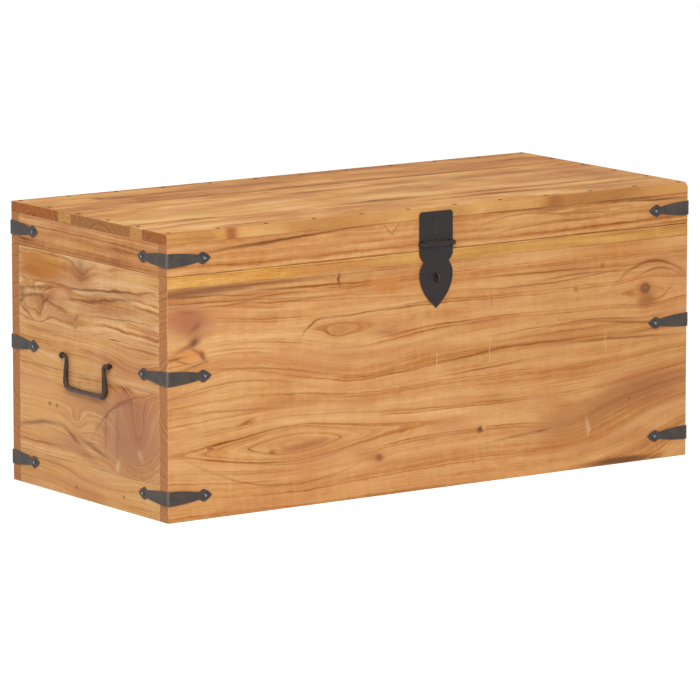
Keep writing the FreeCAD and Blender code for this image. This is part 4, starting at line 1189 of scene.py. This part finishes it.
@dataclass
class Carcass:
    """The four walls, the bottom board and its battens."""

    end_light: str = "#CC8C57"
    end_dark: str = "#A4663A"

    def boards(self) -> list[Board]:
        """List every board of the case.

        Returns:
            The boards of the front, rear, left end, right end and bottom.
        """
        ends = (self.end_light, self.end_dark)
        boards = [
            Board("front_panel", Acacia(2.0, HONEY, *ends, FRONT_FIGURES, wave=14.0,
                                        heart=88.0, heart_gap=154.0), Grain.LONG_WALL),
            Board("front_rim_strip", Acacia(11.0, YELLOW, *ends, RIM_FIGURES, ring_gap=16.0,
                                            wave=8.0, tone=0.64, lines=0.2, patches=0.55,
                                            contrast=1.9, late=0.35), Grain.LONG_WALL),
            Board("rear_panel", Acacia(23.0, HONEY, *ends, self._scattered(23.0, 430.0, 310.0)),
                  Grain.LONG_WALL),
            Board("rear_rim_strip", Acacia(29.0, RED, *ends, ring_gap=16.0, wave=8.0),
                  Grain.LONG_WALL),
            Board("left_end_top_board", Acacia(31.0, HONEY, *ends, LEFT_TOP_FIGURES,
                                               ring_gap=13.0, tone=0.80, lines=0.45,
                                               contrast=1.35, rub_and_highlight=0.5, curl=11.0, late=0.8),
                  Grain.END_WALL),
            Board("left_end_middle_board", Acacia(37.0, HONEY, *ends, LEFT_MIDDLE_FIGURES,
                                                  ring_gap=18.0, tone=0.69, rub_and_highlight=0.5,
                                                  blush="#D0946C"),
                  Grain.END_WALL),
            Board("left_end_lower_board", Acacia(41.0, HONEY, *ends, LEFT_LOWER_FIGURES,
                                                 ring_gap=15.0, tone=0.68, lines=0.3, rub_and_highlight=0.5,
                                                 contrast=1.2, curl=5.0, blush="#CC8A60"),
                  Grain.END_WALL),
            Board("left_end_foot_board", Acacia(43.0, PALE, *ends, LEFT_FOOT_FIGURES,
                                                ring_gap=14.0, tone=0.66, rub_and_highlight=0.5),
                  Grain.END_WALL),
            Board("right_end_top_board", Acacia(47.0, HONEY, *ends,
                                                self._scattered(47.0, 160.0, 330.0),
                                                ring_gap=16.0), Grain.END_WALL),
            Board("right_end_middle_board", Acacia(53.0, HONEY, *ends, ring_gap=18.0, tone=0.70),
                  Grain.END_WALL),
            Board("right_end_lower_board", Acacia(59.0, RED, *ends,
                                                  self._scattered(59.0, 160.0, 165.0)),
                  Grain.END_WALL),
            Board("right_end_foot_board", Acacia(61.0, PALE, *ends, ring_gap=14.0),
                  Grain.END_WALL),
            Board("bottom_board", Acacia(67.0, PALE, *ends), Grain.FLAT),
        ]
        for i, name in enumerate(("left", "centre", "right")):
            boards.append(Board("bottom_batten_" + name, Acacia(71.0 + i, PALE, *ends),
                                Grain.CROSSWISE))
        return boards

    def _scattered(self, seed: float, half_width: float, height: float) -> tuple[Figure, ...]:
        """Knots and eyes for a wall that the picture doesn't show.

        Args:
            seed: Chooses another arrangement.
            half_width: How far from the middle they may lie.
            height: How high up they may lie.

        Returns:
            Five eyes with a knot in each, set out by a steady turn so that none fall together.
        """
        figures = []
        for i in range(5):
            along = half_width * math.sin(2.4 * i + seed)
            across = height * (0.5 + 0.36 * math.cos(1.7 * i + seed))
            size = 1.0 + 0.5 * math.sin(3.1 * i + seed)
            figures.append(Figure(along, across, 46 * size, 18 * size, lift=26 * size,
                                  spread=0.3, stain="#B0713F", depth=0.25))
            figures.append(Figure(along, across, 7 * size, 5 * size, stain="#7C4729", depth=0.6))
        return tuple(figures)

    def dress(self) -> None:
        """Give every board of the case its finish."""
        for board in self.boards():
            board.dress()


@dataclass
class Lid:
    """The five glued staves of the lid, their four rails and the nails that join them.

    Attributes:
        corner_wear: How far the worn front right corner is cut back, in millimetres.
        arrises: How much of the worn stave's edges is filed away, in millimetres.
        smooth_angle: Below how many degrees the worn stave's faces are shaded as one.
        nails: The finish of the nails.
    """

    corner_wear: float = 4.0
    arrises: float = 0.45
    smooth_angle: float = 35.0
    nails: NailSteel = NailSteel("lid nails", "#1A110B", "#2A1C12", "Z", metal=0.0, gloss=0.0,
                                 roughness=0.95)

    def boards(self) -> list[Board]:
        """List every board of the lid.

        Returns:
            The five staves, counted from the rear, and the four rails.
        """
        rail = ("#CB8B58", "#A5673C")
        red, gold, umber = ("#BF7946", "#96522A"), ("#D9A360", "#BB7F42"), ("#BC8450", "#985F3A")
        staves = ((red, REAR_STAVE_FIGURES, 0.63),
                  (gold, (), 0.73),
                  (umber, MIDDLE_STAVE_FIGURES, 0.78),
                  (gold, (), 0.78),
                  (red, FRONT_STAVE_FIGURES, 0.76))
        boards = []
        for number, (ends, figures, tone) in enumerate(staves, 1):
            finish = Acacia(80.0 + 3.7 * number, AMBER, *ends, figures, ring_gap=52.0,
                            wave=44.0, tone=tone, lines=0.24, patches=1.0, contrast=1.25,
                            blush="#C47A44", rub_and_highlight=0.12, gloss=0.05, streaks=0.45, curl=6.0,
                            nails=NailRing())
            boards.append(Board("lid_stave_%d" % number, finish, Grain.FLAT))
        boards += [
            Board("lid_front_rail", Acacia(101.0, HONEY, *rail, LID_FRONT_FIGURES, ring_gap=24.0,
                                           wave=16.0, tone=0.555, lines=0.24, contrast=1.2,
                                           rub_and_highlight=0.1), Grain.LONG_WALL),
            Board("lid_rear_rail", Acacia(103.0, HONEY, *rail), Grain.LONG_WALL),
            Board("lid_left_rail", Acacia(107.0, RED, *rail, ring_gap=16.0, wave=12.0,
                                          tone=0.68, contrast=1.35, patches=0.7),
                  Grain.END_WALL),
            Board("lid_right_rail", Acacia(109.0, RED, *rail, ring_gap=12.0, wave=12.0),
                  Grain.END_WALL),
        ]
        return boards

    def dress(self) -> None:
        """Give the boards and nails of the lid their finishes."""
        for board in self.boards():
            board.dress()
        dress(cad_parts["lid_nails"], self.nails.material())
        self.wear_corner()

    def wear_corner(self) -> None:
        """Round off the front right corner of the front stave, where hands have worn it."""
        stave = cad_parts["lid_stave_5"]
        worn = bpy.data.objects.new("front_stave_worn", stave.data.copy())
        bpy.context.collection.objects.link(worn)
        bpy.ops.object.select_all(action="DESELECT")
        worn.select_set(True)
        bpy.context.view_layer.objects.active = worn
        bpy.ops.object.mode_set(mode="EDIT")
        bpy.ops.mesh.select_all(action="SELECT")
        bpy.ops.mesh.remove_doubles(threshold=SAME_CORNER / METRE)
        bpy.ops.mesh.dissolve_limited(angle_limit=math.radians(FLAT_ANGLE))
        low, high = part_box("lid_stave_5")
        away = Vector((1.0, -1.0, 1.0)).normalized()
        corner = Vector((high.x, low.y, high.z)) - away * self.corner_wear / METRE
        bpy.ops.mesh.select_all(action="SELECT")
        bpy.ops.mesh.bisect(plane_co=corner, plane_no=away, use_fill=True, clear_outer=True)
        bpy.ops.mesh.bevel(offset=self.corner_wear / METRE, segments=4, affect="EDGES",
                           clamp_overlap=True)
        bpy.ops.object.mode_set(mode="OBJECT")
        edge = file_edges(worn, self.arrises, harden=False)
        bpy.ops.object.modifier_apply(modifier=edge.name)
        bpy.ops.object.shade_smooth_by_angle(angle=math.radians(self.smooth_angle))
        dress(worn, stave.data.materials[0])
        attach(worn, "lid")
        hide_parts("lid_stave_5")


@dataclass
class CornerStraps:
    """The twelve bent straps and their nails.

    Attributes:
        filed: How much of the straps' edges is filed away, in millimetres.
        finish: The finish of the straps.
        nails: The finish of their nails.
    """

    filed: float = 0.55
    # The straps' finish paints a highlight on each bend, along with its wear.
    finish: BlackIron = BlackIron("corner straps", "#4E433B", "#3C3937", RUSTY_EDGE,
                                  SheetWay.FRONT_AND_ENDS, 0.6, seed=1.0, bend_wear_and_highlight=0.5)
    nails: NailSteel = NailSteel("strap nails", DOME_SHADE, DOME_CROWN_AND_GLINT, "XY")

    def dress(self) -> None:
        """Give the straps and their nails their finishes."""
        iron = self.finish.material()
        for level in ("lid", "middle", "bottom"):
            for corner in ("front_left", "front_right", "rear_left", "rear_right"):
                node = "strap_%s_%s" % (level, corner)
                dress(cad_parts[node], iron)
                ease(node, self.filed)
        steel = self.nails.material()
        for node in ("strap_nails_case", "strap_nails_lid"):
            dress(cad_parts[node], steel)


@dataclass
class Hasp:
    """The spade-shaped hasp, its plate and pin, and the staple.

    Attributes:
        pin_height: How high the pin lies, in millimetres.
        barrel_reach: How far the rolled barrels reach from there, in millimetres.
        filed: How much of the edges of plate and leaf is filed away, in millimetres.
    """

    pin_height: float = 349.4
    barrel_reach: float = 5.2
    filed: float = 0.7

    def dress(self) -> None:
        """Give the hasp its finishes."""
        sheet = BlackIron("hasp", "#272220", "#231F1D", "#7C4F32", SheetWay.FRONT_OR_REAR, 0.85,
                          self.pin_height, self.barrel_reach, seed=5.0)
        wire = BlackIron("hasp staple and pin", "#3E3B38", "#2E2F30", RUSTY_EDGE, roughness=0.34)
        iron, rod = sheet.material(), wire.material()
        for node, material in (("hasp_plate", iron), ("hasp_leaf", iron), ("hasp_pin", rod),
                               ("hasp_staple", rod)):
            dress(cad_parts[node], material)
        for node in ("hasp_plate", "hasp_leaf"):
            ease(node, self.filed)
        steel = NailSteel("hasp nails", "#262423", "#3A3837", "Y")
        dress(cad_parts["hasp_plate_nails"], steel.material())


@dataclass
class Hinges:
    """The two hinges on the rear and their nails.

    Attributes:
        pin_height: How high the pins lie, in millimetres.
        barrel_reach: How far the rolled barrels reach from there, in millimetres.
        filed: How much of the leaves' edges is filed away, in millimetres.
    """

    pin_height: float = 340.2
    barrel_reach: float = 5.2
    filed: float = 0.6

    def dress(self) -> None:
        """Give the hinges their finishes."""
        iron = BlackIron("hinges", "#3F3F3E", "#373D3E", RUSTY_EDGE, SheetWay.FRONT_OR_REAR, 0.6,
                         self.pin_height, self.barrel_reach, seed=8.0).material()
        for side in ("left", "right"):
            for part in ("upper_leaf", "lower_leaf", "pin"):
                node = "hinge_%s_%s" % (side, part)
                dress(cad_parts[node], iron)
                if part != "pin":
                    ease(node, self.filed)
        steel = NailSteel("hinge nails", DOME_SHADE, DOME_CROWN_AND_GLINT, "Y").material()
        for node in ("hinge_nails_case", "hinge_nails_lid"):
            dress(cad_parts[node], steel)


@dataclass
class Bar:
    """The end of a bar on the anvil: its place, the way it points and its radius there."""

    place: Vector
    way: Vector
    radius: float

    def draw(self, length: float, radius: float) -> None:
        """Draw the bar on, straight ahead.

        Args:
            length: How far, in millimetres.
            radius: The radius of its new end, in millimetres.
        """
        move = self.way * length
        bpy.ops.mesh.extrude_region_move(TRANSFORM_OT_translate={"value": move / METRE})
        self.place = self.place + move
        self.swell(radius)

    def bend(self, degrees: float, inner: float, radius: float) -> None:
        """Bend the bar on, in the plane of the bail.

        Args:
            degrees: How far it turns, down above 0 and up below it.
            inner: The radius of the bend at the bar's middle, in millimetres.
            radius: The radius of the bar's new end, in millimetres.
        """
        across = Vector((0.0, self.way.z, -self.way.y)) * math.copysign(inner, degrees)
        middle = self.place + across
        bpy.ops.mesh.spin(steps=6, angle=math.radians(degrees), center=middle / METRE,
                          axis=(1.0, 0.0, 0.0))
        turn = Matrix.Rotation(-math.radians(degrees), 3, "X")
        self.place = middle - turn @ across
        self.way = turn @ self.way
        self.swell(radius)

    def swell(self, radius: float) -> None:
        """Bring the bar's end to a new radius.

        Args:
            radius: The new radius, in millimetres.
        """
        share = radius / self.radius
        bpy.ops.transform.resize(value=(share, share, share), center_override=self.place / METRE)
        self.radius = radius


@dataclass
class DropHandles:
    """The two forged bails and their eyes, sized in millimetres.

    The radii differ from one side to the other because the bar is drawn out by hand.

    Attributes:
        pivot: The middle of the left bail's pins.
        pin_end: How far each pin's end lies from there.
        pin_radius: The radius of the pins.
        top_bend: The radius of the bends beside the eyes.
        low_bend: The radius of the bends at the grip.
        lean: How far each bend turns, in degrees, a little over a right angle.
        front_pin: The runs of the pin at the front.
        front_leg: The runs of the leg at the front.
        grip: The runs of the grip.
        rear_leg: The runs of the leg at the rear.
        rear_pin: The runs of the pin at the rear.
        sides: How many sides the bar has before it is rounded.
        blow_size: How wide the hammer's flats are.
        blow_depth: How deep they are, from the highest place to the lowest.
        bail: The finish of the bails.
        eyes: The finish of the eyes.
    """

    pivot: Triple = (-455.6, 0.0, 199.0)
    pin_end: float = 63.9
    pin_radius: float = 2.1
    top_bend: float = 4.5
    low_bend: float = 11.0
    lean: float = 95.69
    front_pin: Runs = ((7.0, 2.1), (4.6, 2.7))
    front_leg: Runs = ((14.0, 3.6), (14.2, 4.5))
    grip: Runs = ((12.0, 3.7), (27.6, 3.5), (27.6, 3.6), (12.1, 4.0))
    rear_leg: Runs = ((14.2, 3.6), (14.0, 2.9))
    rear_pin: Runs = ((4.6, 2.1), (7.0, 2.1))
    sides: int = 16
    blow_size: float = 7.0
    blow_depth: float = 0.9
    bail: BlackIron = BlackIron("bails", "#4C3829", "#39291F", RUSTY_EDGE, roughness=0.30,
                                seed=12.0)
    eyes: BlackIron = BlackIron("handle eyes", "#40332C", "#352E2C", RUSTY_EDGE, roughness=0.34,
                                seed=14.0)

    def build(self) -> None:
        """Forge both bails, and give them and the eyes their finishes."""
        iron, dark = self.bail.material(), self.eyes.material()
        left = self._forged_bar()
        right = bpy.data.objects.new("bail_forged_right", left.data.copy())
        bpy.context.collection.objects.link(right)
        self._mirror(right)
        for side, piece in (("left", left), ("right", right)):
            dress(piece, iron)
            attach(piece, side + "_bail")
            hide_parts(side + "_bail")
            dress(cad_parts[side + "_handle_eyes"], dark)

    def _forged_bar(self) -> bpy.types.Object:
        """Draw and bend one bar from its front pin to its rear pin.

        Returns:
            The left bail.
        """
        end = Bar(Vector((self.pivot[0], -self.pin_end, self.pivot[2])), Vector((0.0, 1.0, 0.0)),
                  self.pin_radius)
        bpy.ops.object.select_all(action="DESELECT")
        bpy.ops.mesh.primitive_circle_add(vertices=self.sides, radius=end.radius / METRE,
                                          fill_type="NGON", location=end.place / METRE,
                                          rotation=(math.pi / 2, 0.0, 0.0))
        piece = bpy.context.object
        piece.name = "bail_forged_left"
        bpy.ops.object.transform_apply(location=True, rotation=True, scale=True)
        bpy.ops.object.mode_set(mode="EDIT")
        bpy.ops.mesh.select_all(action="SELECT")
        for length, radius in self.front_pin:
            end.draw(length, radius)
        # Each bend, the bar's radius after it, and the runs that follow
        bends = ((self.lean, self.top_bend, 3.0, self.front_leg),
                 (-self.lean, self.low_bend, 4.4, self.grip),
                 (-self.lean, self.low_bend, 3.9, self.rear_leg),
                 (self.lean, self.top_bend, 2.6, self.rear_pin))
        for degrees, inner, swollen, runs in bends:
            end.bend(degrees, inner, swollen)
            for length, radius in runs:
                end.draw(length, radius)
        bpy.ops.mesh.select_all(action="SELECT")
        bpy.ops.mesh.normals_make_consistent(inside=False)
        bpy.ops.object.mode_set(mode="OBJECT")
        self._hammer(piece)
        return piece

    def _hammer(self, piece: bpy.types.Object) -> None:
        """Round the bar, and leave the shallow flats of the hammer on it.

        Args:
            piece: The bail.
        """
        blows = bpy.data.textures.new("hammer blows", "CLOUDS")
        blows.noise_scale = self.blow_size / METRE
        round_off = piece.modifiers.new("round", "SUBSURF")
        round_off.levels = round_off.render_levels = 2
        flats = piece.modifiers.new("blows", "DISPLACE")
        flats.texture = blows
        flats.texture_coords = "LOCAL"
        flats.strength = self.blow_depth / METRE
        flats.mid_level = 0.5
        for name in ("round", "blows"):
            bpy.ops.object.modifier_apply(modifier=name)
        bpy.ops.object.shade_smooth()

    def _mirror(self, piece: bpy.types.Object) -> None:
        """Turn the left bail's copy into the right one.

        Args:
            piece: The copy.
        """
        bpy.ops.object.select_all(action="DESELECT")
        piece.select_set(True)
        bpy.context.view_layer.objects.active = piece
        bpy.ops.object.mode_set(mode="EDIT")
        bpy.ops.mesh.select_all(action="SELECT")
        bpy.ops.transform.resize(value=(-1.0, 1.0, 1.0), center_override=(0.0, 0.0, 0.0))
        bpy.ops.mesh.normals_make_consistent(inside=False)
        bpy.ops.object.mode_set(mode="OBJECT")


@dataclass(frozen=True)
class Lamp:
    """A soft square lamp: its place and side in metres, and its power in watts."""

    name: str
    place: Triple
    side: float
    watts: float


@dataclass
class Studio:
    """A pale floor, soft lamps and the camera.

    Attributes:
        floor_size: The side of the floor, in metres.
        paper: The colour of the floor.
        paper_glow: How much brighter the floor looks than it lights the chest.
        surround: The colour of the surround.
        sky: How bright the surround is as a light, where it looks as bright as 1.
        turn: How far the camera looks to the right, in degrees.
        tilt: How far the camera looks down, in degrees.
        distance: From the camera to its target, in millimetres.
        lens: The camera's focal length, in millimetres.
        sensor: The width of its picture, in millimetres.
        target: The point it looks at, in millimetres.
        farthest: How far it sees, in metres.
        key: The lamp to the front left.
        overhead: The lamp over the chest.
    """

    floor_size: float = 60.0
    paper: str = "#E7E7E7"
    paper_glow: float = 0.60
    surround: str = "#FFFFFF"
    sky: float = 0.45
    turn: float = 35.075
    tilt: float = 9.562
    distance: float = 8388.0
    lens: float = 301.12
    sensor: float = 36.0
    target: Triple = (-5.853, 0.0, 170.853)
    farthest: float = 100.0
    key: Lamp = Lamp("key", (-2.6, -3.4, 3.2), 2.2, 150.0)
    overhead: Lamp = Lamp("overhead", (0.6, 0.4, 3.6), 3.0, 14.0)

    def build_floor(self) -> None:
        """A wide floor of matt paper that looks white to the camera and keeps the shadow."""
        bpy.ops.object.select_all(action="DESELECT")
        bpy.ops.mesh.primitive_plane_add(size=self.floor_size)
        floor = bpy.context.object
        floor.name = "studio_floor"
        material, tree, shader = blank_material("studio paper")
        feed(tree, shader, {"Base Color": linear(self.paper), "Roughness": 0.9,
                            "Specular IOR Level": 0.0})
        glow = add(tree, "Emission", {"Strength": self.paper_glow})
        lifted = add(tree, "AddShader", {0: shader, 1: glow})
        final = add(tree, "MixShader", {0: self._seen(tree), 1: shader, 2: lifted})
        feed(tree, tree.nodes["Material Output"], {"Surface": final})
        dress(floor, material)

    def _seen(self, tree: bpy.types.NodeTree) -> bpy.types.Node:
        """Tell what is looked at from what only gives light.

        Args:
            tree: The node tree of the floor or the surround.

        Returns:
            A share that is 1 for rays from the camera, for reflections and through glass.
        """
        path = add(tree, "LightPath")
        seen = add(tree, "Math", {0: path.outputs["Is Camera Ray"],
                                  1: path.outputs["Is Glossy Ray"]}, operation="MAXIMUM")
        return add(tree, "Math", {0: seen, 1: path.outputs["Is Transmission Ray"]},
                   operation="MAXIMUM")

    def build_world(self) -> None:
        """An even white surround, dimmer as a light than as a backdrop."""
        world = bpy.data.worlds.new("studio surround")
        bpy.context.scene.world = world
        world.use_nodes = True
        tree = world.node_tree
        level = add(tree, "MapRange", {"Value": self._seen(tree), "To Min": self.sky,
                                       "To Max": 1.0})
        feed(tree, tree.nodes["Background"], {"Color": linear(self.surround), "Strength": level})

    def build_lamp(self, lamp: Lamp) -> None:
        """Hang one lamp, turned to the middle of the chest.

        Args:
            lamp: The lamp.
        """
        light = bpy.data.lights.new(lamp.name, "AREA")
        light.shape = "SQUARE"
        light.size = lamp.side
        light.energy = lamp.watts
        hung = bpy.data.objects.new(lamp.name, light)
        bpy.context.collection.objects.link(hung)
        hung.location = lamp.place
        aim = Vector((0.0, 0.0, self.target[2] / METRE)) - Vector(lamp.place)
        hung.rotation_euler = aim.to_track_quat("-Z", "Y").to_euler()

    def build_camera(self) -> None:
        """The camera at the picture's place, far off with a long lens."""
        turn, tilt = math.radians(self.turn), math.radians(self.tilt)
        ahead = Vector((math.sin(turn) * math.cos(tilt), math.cos(turn) * math.cos(tilt),
                        -math.sin(tilt)))
        data = bpy.data.cameras.new("camera")
        data.lens = self.lens
        data.sensor_width = self.sensor
        data.clip_end = self.farthest
        camera = bpy.data.objects.new("camera", data)
        bpy.context.collection.objects.link(camera)
        camera.location = (Vector(self.target) - ahead * self.distance) / METRE
        camera.rotation_euler = ahead.to_track_quat("-Z", "Y").to_euler()
        bpy.context.scene.camera = camera

    def build(self) -> None:
        """Set up the whole studio."""
        self.build_floor()
        self.build_world()
        for lamp in (self.key, self.overhead):
            self.build_lamp(lamp)
        self.build_camera()
        bpy.context.scene.view_settings.view_transform = "Standard"
        log.info("studio built")


def main() -> None:
    """Dress the case, the lid and the fittings in turn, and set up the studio."""
    logging.basicConfig(level=logging.INFO, format="%(message)s")
    bpy.ops.object.select_all(action="DESELECT")
    for part in (Carcass(), Lid(), CornerStraps(), Hasp(), Hinges()):
        part.dress()
    DropHandles().build()
    Studio().build()


if __name__ == "__main__":
    main()
